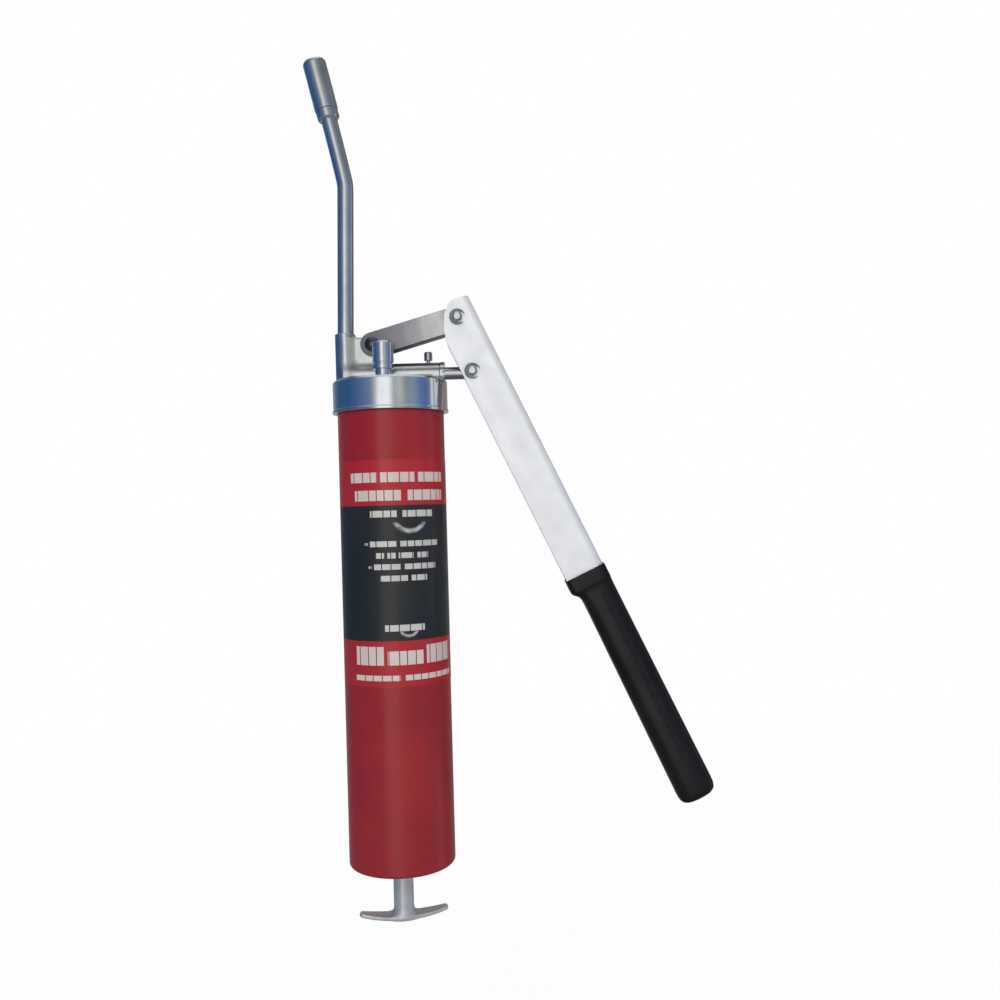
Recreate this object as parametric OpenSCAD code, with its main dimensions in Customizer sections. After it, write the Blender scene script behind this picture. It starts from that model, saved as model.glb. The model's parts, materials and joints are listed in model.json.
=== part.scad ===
// Lever grease gun, stood upright: +Z runs along the barrel towards the pipe,
// +X points at the lever. The origin is the middle of the barrel's plain wall.

/* [Barrel] */
// Outside diameter of the barrel
barrel_d = 57; // [56:0.5:58]
// Wall of the barrel tube
barrel_wall = 1.2; // [1:0.1:1.4]
// Length of the barrel's plain wall, from the bottom rounding to the head
barrel_h = 239.6; // [180:0.2:260]

/* [Label] */
// Bottom edge of the printed label, up from the middle of the barrel
label_z = -23; // [-60:1:0]
// Height of the printed label
label_h = 117; // [80:1:120]
// Part of the turn that the label covers, in degrees
label_turn = 164; // [120:1:200]

/* [Head] */
// Height of the head's threaded skirt, up to its flat top
skirt_h = 17.5; // [17:0.1:19]
// Wall of the skirt
skirt_wall = 1.95; // [1.6:0.05:2.4]
// Height of the pump bore's axis above the flat top
pump_up = 3.5; // [3.4:0.1:3.8]
// Outside diameter of the pump cylinder
pump_d = 12; // [11.8:0.1:12.4]
// Face of the gland nut, out from the barrel axis
gland_x = 29.7; // [29:0.1:31]

/* [Pipe and coupler] */
// Outside diameter of the extension pipe
pipe_d = 8.7; // [8.2:0.1:9]
// Straight length from the outlet boss to the bend
pipe_run = 78; // [40:1:200]
// Turn of the pipe's bend, in degrees
pipe_bend = 13.2; // [5:0.1:30]
// Length of the slightly curved run above the bend
pipe_tip_run = 33; // [25:1:60]
// Outside diameter of the coupler
coupler_d = 12.6; // [12.2:0.1:13]
// Whole length of the coupler
coupler_h = 33; // [32.5:0.1:38]

/* [Lever] */
// Angle between the lever and the barrel at rest, in degrees
lever_lean = 25.2; // [22:0.1:30]
// Depth of the lever channel, open edge to web
channel_depth = 21.5; // [21:0.1:22.5]
// Outside width of the lever channel
channel_w = 16.2; // [16:0.1:17]
// Sheet thickness of the lever channel
channel_t = 1.6; // [1.4:0.1:1.7]
// Length of the plastic grip
grip_h = 136.4; // [110:0.1:150]

/* [Follower] */
// Diameter of the follower rod
rod_d = 7; // [6:0.2:7]
// Turns of the follower spring
spring_turns = 11; // [8:1:13]

/* [Hidden] */
$fn = 48;
barrel_r = barrel_d / 2;
bore_r = barrel_r - barrel_wall;
rod_r = rod_d / 2;
pipe_r = pipe_d / 2;
pump_r = pump_d / 2;
coupler_r = coupler_d / 2;
overlap = 1;
slack = 0.05;
gap = 0.3;

// Barrel
edge_r = 2.2;
barrel_low_z = -barrel_h / 2 - edge_r;
neck_inset = 0.3;
rolled_in = 1.4;

// Head
skirt_z = barrel_h / 2 + 0.2;
head_top_z = skirt_z + skirt_h;
head_plate_t = 3.4;
cavity_top_z = head_top_z - head_plate_t;
barrel_rim_z = cavity_top_z - 2.5;
pump_z = head_top_z + pump_up;
skirt_bore_r = barrel_r + gap;
skirt_r = skirt_bore_r + skirt_wall;
lip_r = skirt_r + 0.35;
lip_h = 1.4;
plunger_r = 3.4;
boss_x = -23.6;
boss_r = 5.5;
boss_top_z = pump_z + 22.5;
pipe_lean = 1.4;
pipe_x = -23.3;
neck_r = 3.9;
neck_h = 9;
pipe_bore_r = 1.8;
pipe_bend_r = 25;
tip_turn = 1.5;
tip_r = pipe_tip_run * 180 / (PI * tip_turn);
packing_x = 15;
packing_h = 4;
gland_body_r = 4.3;
gland_flange = 2.2;
gland_flange_r = pump_r + 0.25;
check_seat_z = pump_z + 3;
check_ball_r = 2.2;
inlet_x = 8;
filler_x = -2.1;
filler_y = -12.5;
filler_r = 5.6;
filler_neck_r = 4.3;
filler_low_z = head_top_z + 5;
filler_top_z = filler_low_z + 14.7;
filler_port_r = 3;
filler_port_h = 4;
filler_ball_r = 2.6;
filler_seat_t = 1.2;
filler_seat_z = filler_top_z - filler_port_h - filler_seat_t;
// how far the ball stands into the seat hole
ball_in_seat = 0.85;
bleeder_x = 20.4;
bleeder_y = 8.6;
bleeder_stem_r = 1.05;
bleeder_head_r = 2.25;
bleeder_head_h = 4.4;
bleeder_head_z = head_top_z + 11.8;
bleeder_pad_h = 7.6;
bleeder_pocket_r = 1.75;
bleeder_pocket_h = 7.3;

// Coupler
collar_h = 5.5;
socket_h = 8.2;
core_h = 12;
sleeve_bore_r = 4.9;
mouth_r = 3.5;
mouth_h = 3;
jaw_h = 7;
jaw_low = coupler_h - mouth_h - 0.4 - jaw_h;
jaw_bore_r = 2.7;
seal_bore_r = 1.2;
seal_h = 3.4;
seal_seat_h = 3.5;

// Lever linkage: head pivot, upper lever pin, and the lower pin on the plunger's axis
head_pin = [-8.5, pump_z + 16];
upper_pin = [37.5, pump_z + 29];
lower_pin = [44.8, pump_z];
pin_r = 2.5;
pin_head_r = 3.9;
pin_head_h = 1.9;
pin_groove_r = 1.9;
clip_r = 4.2;
link_vec = upper_pin - head_pin;
link_len = norm(link_vec);
link_rise = atan2(link_vec[1], link_vec[0]);
link_half = 6.35;
link_w = 12;
link_t = 1.5;
link_slot_down = 2.4;
link_slot_up = 0.45;
link_slot_side = 0.55;
inner_edge = -5.4;
web_face = inner_edge + channel_depth;
pin_dx = upper_pin[0] - lower_pin[0];
pin_dz = upper_pin[1] - lower_pin[1];
upper_out = pin_dx * cos(lever_lean) + pin_dz * sin(lever_lean);
upper_up = pin_dz * cos(lever_lean) - pin_dx * sin(lever_lean);
lever_crown = 38.8;
grip_top = -123;
channel_bend_r = 3.6;
tang_bend_r = 2.4;
tang_h = 108;
tang_w = 12.4;
tang_in = 1.6;
tang_out = 13.6;

// Follower
follower_z = barrel_rim_z - 32;
plate_h = 2;
end_plate_t = 1.6;
guide_r = 6.2;
guide_h = 4.5;
spring_wire = 1.8;
spring_r = 20;
draw = 185;
rod_top_z = follower_z + 11;
hub_top_z = barrel_low_z - 0.8;
rod_in_hub = 12;

// ---- shared shapes ----

// A tube along Z
module ring(outer, inner, h) {
    difference() {
        cylinder(r = outer, h = h);
        translate([0, 0, -overlap]) cylinder(r = inner, h = h + 2 * overlap);
    }
}

// Children laid with their Z axis along +X
module along_x() {
    rotate([0, 90, 0]) children();
}

// A bar through the origin along Y, from y_low to y_high
module across(r, y_low, y_high) {
    translate([0, y_high, 0]) rotate([90, 0, 0]) cylinder(r = r, h = y_high - y_low);
}

// Plate drawn in X and Z, w wide in Y about the middle plane
module plate_y(w) {
    translate([0, w / 2, 0]) rotate([90, 0, 0]) linear_extrude(w) children();
}

// Rounded slab, w by h in the drawing plane
module soft_rect(w, h, r) {
    square([w - 2 * r, h], center = true);
    square([w, h - 2 * r], center = true);
    for (x = [-1, 1], y = [-1, 1]) translate([x * (w / 2 - r), y * (h / 2 - r)]) circle(r);
}

// Helical spring along Z: one closed coil of a fixed number of flats
module coil(r, wire, h, turns, flats = 6, steps = 16) {
    rings = turns * steps;
    pts = [for (i = [0:rings], j = [0:flats - 1])
        let (a = 360 * i / steps, b = 360 * j / flats, q = r + wire / 2 * cos(b))
        [q * cos(a), q * sin(a), wire / 2 + (h - wire) * i / rings + wire / 2 * sin(b)]];
    sides = [for (i = [0:rings - 1], j = [0:flats - 1])
        let (k = (j + 1) % flats)
        [i * flats + j, i * flats + k, (i + 1) * flats + k, (i + 1) * flats + j]];
    ends = [[for (j = [flats - 1:-1:0]) j], [for (j = [0:flats - 1]) rings * flats + j]];
    polyhedron(points = pts, faces = concat(sides, ends));
}

// ---- places ----

module at_lever() {
    translate([lower_pin[0], 0, lower_pin[1]]) rotate([0, -lever_lean, 0]) children();
}

module at_upper_pin() {
    translate([upper_out, 0, upper_up]) children();
}

module at_link() {
    translate([head_pin[0], 0, head_pin[1]]) rotate([0, -link_rise, 0]) children();
}

module at_pipe() {
    translate([pipe_x, 0, boss_top_z]) rotate([0, pipe_lean, 0]) children();
}

// The far end of an arc of radius r that turns towards -X by a
module past_arc(r, a) {
    translate([r * (cos(a) - 1), 0, r * sin(a)]) rotate([0, -a, 0]) children();
}

// A round bar of radius t bent along that arc
module arc_bar(r, a, t) {
    translate([-r, 0, 0]) rotate([90, 0, 0]) rotate_extrude(angle = a, $fn = 96) translate([r, 0]) circle(t);
}

module at_coupler() {
    at_pipe() translate([0, 0, pipe_run]) past_arc(pipe_bend_r, pipe_bend) past_arc(tip_r, tip_turn) children();
}

// ---- barrel ----

module barrel_tube() {
    low = barrel_low_z;
    wall_top = barrel_h / 2;
    color("firebrick") difference() {
        rotate_extrude($fn = 96) {
            translate([bore_r, low + edge_r]) square([barrel_wall, barrel_h]);
            translate([bore_r, wall_top]) square([barrel_wall - neck_inset, barrel_rim_z - wall_top]);
            intersection() {
                translate([barrel_r - edge_r, low + edge_r]) difference() {
                    circle(edge_r);
                    circle(edge_r - barrel_wall);
                }
                translate([barrel_r - edge_r, low]) square(edge_r);
            }
            translate([barrel_r - edge_r - rolled_in, low]) square([rolled_in, barrel_wall]);
        }
        for (i = [0:3]) translate([0, 0, wall_top + 3.2 + 2 * i])
            ring(barrel_r, barrel_r - neck_inset - 0.35, 0.9);
    }
}

module barrel_end_plate() {
    rim_r = barrel_r - 2.2;
    z = barrel_low_z + barrel_wall;
    color("firebrick") difference() {
        union() {
            translate([0, 0, z]) cylinder(r = rim_r, h = end_plate_t);
            translate([0, 0, z - 0.6]) cylinder(r = rim_r - 4, h = 0.6);
        }
        translate([0, 0, z - overlap]) cylinder(r = guide_r - 1.4, h = end_plate_t + 2 * overlap);
    }
}

// Pressed bush in the end plate, with the side slot that the rod's groove latches into
module rod_guide() {
    z = barrel_low_z + barrel_wall;
    color("silver") difference() {
        union() {
            translate([0, 0, z - 0.6]) cylinder(r = guide_r - 1.4, h = end_plate_t + 0.6);
            translate([0, 0, z + end_plate_t]) cylinder(r = guide_r + 1.8, h = guide_h);
        }
        translate([0, 0, z - overlap]) cylinder(r = rod_r + slack, h = guide_h + 4);
        translate([0, 0, z + end_plate_t + 1.6]) translate([0, -rod_r + 0.9, 0])
            cube([guide_r + 3, 2 * rod_r - 1.8, 1.4]);
    }
}

module barrel_label() {
    middle = -80;
    start = middle - label_turn / 2;
    color("black") rotate([0, 0, start]) translate([0, 0, label_z])
        rotate_extrude(angle = label_turn, $fn = 96) translate([barrel_r, 0]) square([0.15, label_h]);
}

// ---- follower and its rod ----

module follower_cup() {
    lip = bore_r - gap;
    color("dimgray") translate([0, 0, follower_z]) difference() {
        union() {
            cylinder(r = lip - 1.5, h = 12);
            cylinder(r = lip, h = 2.4);
            translate([0, 0, 9.6]) cylinder(r = lip, h = 2.4);
        }
        translate([0, 0, 3.4]) cylinder(r = lip - 4, h = 10);
        translate([0, 0, -overlap]) cylinder(r = rod_r + slack, h = 12);
    }
}

module follower_plate() {
    color("silver") translate([0, 0, follower_z - plate_h]) ring(bore_r - 4, rod_r + slack, plate_h);
}

module cup_washer() {
    color("silver") translate([0, 0, follower_z + 3.4]) ring(12, rod_r + slack, 1.5);
}

module follower_spring() {
    low = barrel_low_z + barrel_wall + end_plate_t;
    color("gray") translate([0, 0, low]) coil(spring_r, spring_wire, follower_z - plate_h - low, spring_turns);
}

module follower_rod() {
    low = hub_top_z - rod_in_hub;
    groove_z = barrel_low_z + barrel_wall + end_plate_t + 1.3 + draw;
    color("silver") difference() {
        translate([0, 0, low]) cylinder(r = rod_r, h = rod_top_z - low);
        translate([0, 0, groove_z]) ring(rod_r + overlap, rod_r - 0.9, 2);
    }
}

module rod_nut() {
    color("silver") translate([0, 0, follower_z + 5]) difference() {
        cylinder(r = 6.3, h = 5, $fn = 6);
        translate([0, 0, -overlap]) cylinder(r = rod_r, h = 8);
    }
}

// Cast handle: a hub that flares into a bar, wide in the middle, whose ends sweep up
module t_handle() {
    hub_r = 5.4;
    half = 24.4;
    bar_t = 2.6;
    bar_w = 9.6;
    end_r = 2.6;
    foot_z = barrel_low_z - 30.6;
    sweep_r = 100;
    side_r = 109;
    flare_r = 2.3;
    bar_top = foot_z + bar_t;
    color("silver") rotate([0, 0, 10]) difference() {
        union() {
            translate([0, 0, foot_z + 1]) cylinder(r = hub_r, h = hub_top_z - foot_z - 1);
            intersection() {
                plate_y(bar_w) difference() {
                    translate([0, foot_z + sweep_r]) circle(sweep_r, $fn = 256);
                    translate([0, bar_top + sweep_r]) circle(sweep_r, $fn = 256);
                }
                translate([0, 0, foot_z - overlap]) linear_extrude(20) {
                    intersection() {
                        translate([0, side_r - bar_w / 2]) circle(side_r, $fn = 256);
                        translate([0, bar_w / 2 - side_r]) circle(side_r, $fn = 256);
                        square([2 * (half - end_r), bar_w], center = true);
                    }
                    for (s = [-1, 1]) translate([s * (half - end_r), 0]) circle(end_r);
                }
            }
            translate([0, 0, bar_top - 1]) rotate_extrude() difference() {
                square([hub_r + flare_r, flare_r + 1]);
                translate([hub_r + flare_r, flare_r + 1]) circle(flare_r);
            }
        }
        translate([0, 0, hub_top_z - rod_in_hub]) cylinder(r = rod_r, h = 20);
    }
}

// ---- head ----

module head_gasket() {
    color("black") translate([0, 0, barrel_rim_z + 0.1]) ring(barrel_r - 0.1, barrel_r - 5, 2.3);
}

module head_casting() {
    top_bevel = 1.2;
    lug_w = 8.4;
    lug_r = 4.5;
    pad_r = 2.6;
    color("gainsboro") difference() {
        union() {
            // skirt with a bevelled top edge and a small lip
            rotate_extrude($fn = 96) difference() {
                polygon([
                    [0, skirt_z], [lip_r, skirt_z], [lip_r, skirt_z + lip_h], [skirt_r, skirt_z + lip_h + 0.5],
                    [skirt_r, head_top_z - top_bevel], [skirt_r - top_bevel, head_top_z], [0, head_top_z],
                ]);
                translate([0, skirt_z - overlap]) square([skirt_bore_r, cavity_top_z - skirt_z + overlap]);
            }
            // pump cylinder, lying across the top
            translate([boss_x, 0, pump_z]) along_x() cylinder(r = pump_r, h = gland_x - gland_flange - boss_x);
            // cheeks that blend the cylinder into the top
            translate([boss_x, -pump_r - 0.6, head_top_z - overlap])
                cube([gland_x - gland_flange - boss_x - 4, 2 * pump_r + 1.2, 2.4]);
            // outlet boss
            translate([boss_x, 0, head_top_z - overlap]) cylinder(r = boss_r, h = boss_top_z - head_top_z + overlap);
            // lug that carries the link
            plate_y(lug_w) union() {
                translate(head_pin) circle(lug_r);
                polygon([
                    [boss_x, boss_top_z - 2], [boss_x + boss_r + 2.2, boss_top_z - 2.4],
                    [head_pin[0] - 1.5, head_pin[1] + lug_r - 0.4], [head_pin[0] + lug_r, head_pin[1] - 0.8],
                    [head_pin[0] + lug_r + 1.5, pump_z], [boss_x, pump_z],
                ]);
            }
            // pads under the bleeder and the filler
            translate([bleeder_x, bleeder_y, head_top_z - overlap]) cylinder(r = pad_r, h = bleeder_pad_h + overlap);
            translate([filler_x, filler_y, head_top_z - overlap]) cylinder(r = filler_r + 1, h = 1.2 + overlap);
        }
        // pump bore, then the wider pockets for the packing and the gland nut
        translate([boss_x + 3, 0, pump_z]) along_x() cylinder(r = plunger_r + slack, h = 60);
        translate([packing_x, 0, pump_z]) along_x() cylinder(r = gland_body_r, h = 30);
        // scallop that clears the gland nut's flange
        translate([gland_x - gland_flange, 0, pump_z]) along_x() cylinder(r = gland_flange_r + slack, h = 10);
        // grease inlet from the barrel
        translate([inlet_x, 0, cavity_top_z - overlap]) cylinder(r = 2.2, h = pump_z - cavity_top_z);
        // outlet: passage, check chamber and pipe socket
        translate([boss_x, 0, pump_z]) cylinder(r = 1.6, h = 10);
        translate([boss_x, 0, pump_z]) along_x() cylinder(r = 1.6, h = 6);
        translate([boss_x, 0, check_seat_z]) cylinder(r = check_ball_r + 0.5, h = 12);
        at_pipe() translate([0, 0, -neck_h]) cylinder(r = neck_r, h = neck_h + overlap);
        // link pin
        translate([head_pin[0], 0, head_pin[1]]) across(pin_r, -10, 10);
        // filler neck, and the bleeder with its spring pocket
        translate([filler_x, filler_y, cavity_top_z - overlap]) cylinder(r = filler_neck_r, h = 8);
        translate([bleeder_x, bleeder_y, cavity_top_z - overlap]) cylinder(r = bleeder_stem_r + 0.1, h = 14);
        translate([bleeder_x, bleeder_y, cavity_top_z - overlap])
            cylinder(r = bleeder_pocket_r, h = bleeder_pocket_h + overlap);
    }
}

module gland_nut() {
    body_x = packing_x + packing_h;
    color("silver") difference() {
        union() {
            translate([body_x, 0, pump_z]) along_x() cylinder(r = gland_body_r, h = gland_x - body_x);
            translate([gland_x - gland_flange, 0, pump_z]) along_x()
                cylinder(r = gland_flange_r, h = gland_flange);
        }
        translate([body_x - overlap, 0, pump_z]) along_x() cylinder(r = plunger_r + slack, h = 30);
        for (a = [0, 90]) translate([gland_x, 0, pump_z]) rotate([a, 0, 0])
            cube([1.6, 20, 1.4], center = true);
    }
}

module plunger_packing() {
    color("black") translate([packing_x, 0, pump_z]) along_x()
        ring(gland_body_r, plunger_r + slack, packing_h - slack);
}

module outlet_check_ball() {
    color("silver") translate([boss_x, 0, check_seat_z + check_ball_r + slack]) sphere(check_ball_r);
}

module outlet_check_spring() {
    low = check_seat_z + 2 * check_ball_r + 0.1;
    color("gray") translate([boss_x, 0, low]) coil(1.7, 0.5, boss_top_z - neck_h - 0.3 - low, 6, 6, 10);
}

module link_pin() {
    near = -link_w / 2 - 0.15;
    dome_r = (pin_head_r * pin_head_r + pin_head_h * pin_head_h) / (2 * pin_head_h);
    color("silver") translate([head_pin[0], 0, head_pin[1]]) difference() {
        union() {
            across(pin_r, near - 0.3, link_w / 2 + 2);
            intersection() {
                translate([0, near - pin_head_h + dome_r, 0]) sphere(dome_r);
                across(pin_head_r + overlap, near - 2 * pin_head_h, near);
            }
        }
        translate([0, link_w / 2 + 0.3, 0]) rotate([-90, 0, 0]) ring(pin_r + overlap, pin_groove_r, 0.7);
    }
}

// Crescent retaining clip, drawn in X and Z with its mouth towards +X
module clip_outline() {
    difference() {
        circle(clip_r);
        circle(pin_groove_r + slack);
        translate([1.5, 0]) circle(2.9);
    }
}

module link_pin_clip() {
    color("dimgray") translate([head_pin[0], link_w / 2 + 0.65, head_pin[1]]) plate_y(0.6) clip_outline();
}

// ---- filler and bleeder ----

module filler_body() {
    ledge_z = filler_top_z - filler_port_h;
    color("silver") translate([filler_x, filler_y, 0]) difference() {
        union() {
            translate([0, 0, cavity_top_z]) cylinder(r = filler_neck_r, h = 9);
            translate([0, 0, filler_low_z]) cylinder(r = filler_r, h = filler_top_z - filler_low_z - 1);
            translate([0, 0, filler_top_z - 1]) cylinder(r1 = filler_r, r2 = filler_r - 1, h = 1);
        }
        translate([0, 0, ledge_z]) cylinder(r = filler_port_r, h = filler_port_h + overlap);
        translate([0, 0, filler_seat_z]) cylinder(r = 2, h = 4);
        translate([0, 0, cavity_top_z + 2])
            cylinder(r = filler_ball_r + 0.4, h = filler_seat_z - cavity_top_z - 2);
        translate([0, 0, cavity_top_z - overlap]) cylinder(r = 1.6, h = 8);
        translate([0, 0, filler_low_z + 2.2]) ring(filler_r + overlap, filler_r - 0.5, 1.4);
    }
}

module filler_ball() {
    color("silver") translate([filler_x, filler_y, filler_seat_z - filler_ball_r + ball_in_seat])
        sphere(filler_ball_r);
}

module filler_spring() {
    low = cavity_top_z + 2;
    top = filler_seat_z - 2 * filler_ball_r + ball_in_seat - 0.1;
    color("gray") translate([filler_x, filler_y, low]) coil(2.2, 0.6, top - low, 5, 6, 10);
}

module bleeder_pin() {
    foot_z = cavity_top_z + 2;
    color("silver") translate([bleeder_x, bleeder_y, 0]) {
        translate([0, 0, foot_z]) cylinder(r = bleeder_stem_r, h = bleeder_head_z - foot_z + overlap);
        translate([0, 0, cavity_top_z + 5.9]) cylinder(r = bleeder_pocket_r - 0.15, h = 1.2);
        translate([0, 0, bleeder_head_z]) cylinder(r = bleeder_head_r, h = bleeder_head_h);
        translate([0, 0, bleeder_head_z + bleeder_head_h])
            cylinder(r1 = bleeder_head_r, r2 = bleeder_head_r - 0.65, h = 0.5);
    }
}

module bleeder_spring() {
    color("gray") translate([bleeder_x, bleeder_y, cavity_top_z + 1]) coil(1.38, 0.3, 4.8, 6, 6, 10);
}

module bleeder_ring() {
    color("silver") translate([bleeder_x, bleeder_y, cavity_top_z]) ring(bleeder_pocket_r, bleeder_stem_r + 0.15, 0.9);
}

// ---- pipe and coupler ----

module extension_pipe() {
    color("silver") at_pipe() difference() {
        union() {
            translate([0, 0, -neck_h]) cylinder(r = neck_r, h = neck_h + overlap);
            cylinder(r = pipe_r, h = pipe_run);
            translate([0, 0, pipe_run]) {
                arc_bar(pipe_bend_r, pipe_bend, pipe_r);
                past_arc(pipe_bend_r, pipe_bend) {
                    arc_bar(tip_r, tip_turn, pipe_r);
                    past_arc(tip_r, tip_turn) cylinder(r = neck_r, h = 8);
                }
            }
        }
        translate([0, 0, -neck_h - overlap]) cylinder(r = pipe_bore_r, h = pipe_run + neck_h + overlap);
        translate([0, 0, pipe_run]) {
            arc_bar(pipe_bend_r, pipe_bend, pipe_bore_r);
            past_arc(pipe_bend_r, pipe_bend) {
                arc_bar(tip_r, tip_turn, pipe_bore_r);
                past_arc(tip_r, tip_turn) cylinder(r = pipe_bore_r, h = 8 + overlap);
            }
        }
    }
}

module coupler_adapter() {
    color("silver") at_coupler() difference() {
        union() {
            cylinder(r1 = coupler_r - 1, r2 = coupler_r - 0.35, h = 1);
            translate([0, 0, 1]) cylinder(r = coupler_r - 0.35, h = collar_h - 1);
            cylinder(r = sleeve_bore_r, h = core_h);
        }
        translate([0, 0, -overlap]) cylinder(r = neck_r, h = socket_h + overlap);
        cylinder(r = pipe_bore_r - 0.4, h = 20);
    }
}

// Outer sleeve: round at the back, two spanner flats in front, bevelled nose
module coupler_sleeve() {
    nose_h = 1.2;
    nose_in = 0.8;
    flat_at = coupler_r - 0.55;
    color("silver") at_coupler() difference() {
        union() {
            translate([0, 0, collar_h]) cylinder(r = coupler_r, h = coupler_h - collar_h - nose_h);
            translate([0, 0, coupler_h - nose_h]) cylinder(r1 = coupler_r, r2 = coupler_r - nose_in, h = nose_h);
        }
        translate([0, 0, collar_h - overlap])
            cylinder(r = sleeve_bore_r, h = coupler_h - collar_h - mouth_h + overlap);
        translate([0, 0, coupler_h - mouth_h - overlap]) cylinder(r = mouth_r, h = mouth_h + 2 * overlap);
        rotate([0, 0, -35]) for (s = [-1, 1])
            translate([s * (flat_at + 5), 0, collar_h + 8 + 15]) cube([10, 30, 30], center = true);
    }
}

// Four jaws around the mouth
module coupler_jaws() {
    color("dimgray") at_coupler() translate([0, 0, jaw_low]) difference() {
        ring(sleeve_bore_r - gap, jaw_bore_r, jaw_h);
        for (a = [0, 90]) rotate([0, 0, a]) translate([0, 0, jaw_h / 2]) cube([20, 0.9, jaw_h + 2], center = true);
        translate([0, 0, jaw_h - 1.4]) cylinder(r1 = jaw_bore_r, r2 = 3.6, h = 1.5);
        translate([0, 0, -0.1]) cylinder(r = 3.3, h = seal_seat_h + 0.1);
    }
}

module coupler_seal() {
    color("black") at_coupler() translate([0, 0, jaw_low - 0.1]) ring(3.2, seal_bore_r, seal_h);
}

module seal_cup() {
    color("silver") at_coupler() translate([0, 0, jaw_low - 1.8]) ring(sleeve_bore_r - gap, seal_bore_r, 1.7);
}

module coupler_spring() {
    low = core_h + 0.1;
    color("gray") at_coupler() translate([0, 0, low]) coil(3.7, 0.9, jaw_low - 1.9 - low, 4, 6, 12);
}

// ---- plunger, link and lever ----

module plunger_rod() {
    tip_x = -6;
    eye_r = 5;
    eye_w = 6.8;
    color("silver") difference() {
        union() {
            translate([tip_x, 0, pump_z]) along_x() cylinder(r = plunger_r, h = lower_pin[0] - tip_x - 3);
            translate([lower_pin[0], 0, pump_z]) across(eye_r, -eye_w / 2, eye_w / 2);
        }
        translate([lower_pin[0], 0, pump_z]) across(pin_r + slack, -10, 10);
    }
}

// Folded channel, open below, with a slotted front end inside the lever
module link() {
    slot_h = 2 * pin_r + link_slot_down + link_slot_up + 0.3;
    slot_w = 2 * pin_r + 2 * link_slot_side + 0.3;
    web_from = 1;
    color("slategray") at_link() difference() {
        plate_y(link_w) {
            circle(link_half);
            translate([link_len, 0]) circle(link_half);
            translate([0, -link_half]) square([link_len, 2 * link_half]);
        }
        translate([-20, -link_w / 2 + link_t, -20]) cube([link_len + 40, link_w - 2 * link_t, 20 + link_half - link_t]);
        translate([-20, -link_w / 2 + link_t, -20]) cube([20 + web_from, link_w - 2 * link_t, 40]);
        across(pin_r + slack, -10, 10);
        translate([link_len, 0, (link_slot_up - link_slot_down) / 2]) plate_y(20) soft_rect(slot_w, slot_h, 2.4);
    }
}

// Side view of the lever's flanges, in its own out and up directions
module flange_outline(low) {
    polygon([
        [inner_edge, low], [web_face, low], [web_face, upper_up + 8], [7.2, lever_crown],
        [4.6, lever_crown - 0.9], [0.2, 33.6], [-3.7, 26.3], [inner_edge, 20],
    ]);
}

module channel_section(inner, outer, w, t, bend_r) {
    difference() {
        intersection() {
            translate([inner - 10, -w / 2]) square([outer - inner + 10, w]);
            union() {
                translate([inner, -w / 2]) square([outer - inner - bend_r, w]);
                translate([inner, -w / 2 + bend_r]) square([outer - inner, w - 2 * bend_r]);
                for (s = [-1, 1]) translate([outer - bend_r, s * (w / 2 - bend_r)]) circle(bend_r);
            }
        }
        translate([inner - overlap, -w / 2 + t]) square([outer - inner - t + overlap, w - 2 * t]);
    }
}

module lever_channel() {
    low = grip_top - 4;
    shoulder_h = 3;
    color("lightgray") at_lever() difference() {
        union() {
            intersection() {
                translate([0, 0, low]) linear_extrude(200)
                    channel_section(inner_edge, web_face, channel_w, channel_t, channel_bend_r);
                plate_y(40) flange_outline(low);
            }
            translate([0, 0, low - tang_h]) linear_extrude(tang_h)
                channel_section(tang_in, tang_out, tang_w, channel_t, tang_bend_r);
            for (s = [-1, 1]) translate([tang_in, s * tang_w / 2 - 1, low - 0.1])
                cube([tang_out - tang_in, 2, shoulder_h]);
            translate([tang_out - channel_t, -tang_w / 2, low - 0.1])
                cube([web_face - tang_out + channel_t - 0.6, tang_w, shoulder_h]);
        }
        across(pin_r, -20, 20);
        at_upper_pin() across(pin_r, -20, 20);
    }
}

// Moulded grip over the lever's tang: a square lip, then an oval body that widens to its end
module lever_grip() {
    lip_h = 8;
    step_h = 5;
    lip_wall = 0.9;
    body_w = 18;
    body_out = web_face + 0.8;
    top_in = -2.6;
    end_in = -4.2;
    end_z = grip_top - grip_h;
    pocket_low = grip_top - tang_h - 6;
    channel_mid = (inner_edge + web_face) / 2;
    color("black") at_lever() difference() {
        union() {
            translate([channel_mid, 0, grip_top - lip_h]) linear_extrude(lip_h)
                soft_rect(channel_depth + 2 * lip_wall, channel_w + 2.8, 3);
            intersection() {
                plate_y(body_w + 2) polygon([
                    [end_in, end_z + 6], [end_in + 1.3, end_z + 2], [end_in + 4.5, end_z], [body_out - 4.5, end_z],
                    [body_out - 1, end_z + 2], [body_out, end_z + 6], [body_out, grip_top - lip_h + 1],
                    [inner_edge - lip_wall, grip_top - lip_h + 1], [inner_edge - lip_wall, grip_top - lip_h],
                    [top_in, grip_top - lip_h - step_h],
                ]);
                translate([(end_in + body_out) / 2, 0, end_z - overlap]) linear_extrude(grip_h)
                    soft_rect(body_out - end_in + 1, body_w, 8);
            }
        }
        translate([channel_mid, 0, grip_top - 4.3]) linear_extrude(20)
            square([channel_depth + 0.1, channel_w + 0.1], center = true);
        translate([(tang_in + tang_out) / 2, 0, pocket_low]) linear_extrude(tang_h + 8)
            square([tang_out - tang_in + 0.1, tang_w + 0.1], center = true);
    }
}

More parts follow.
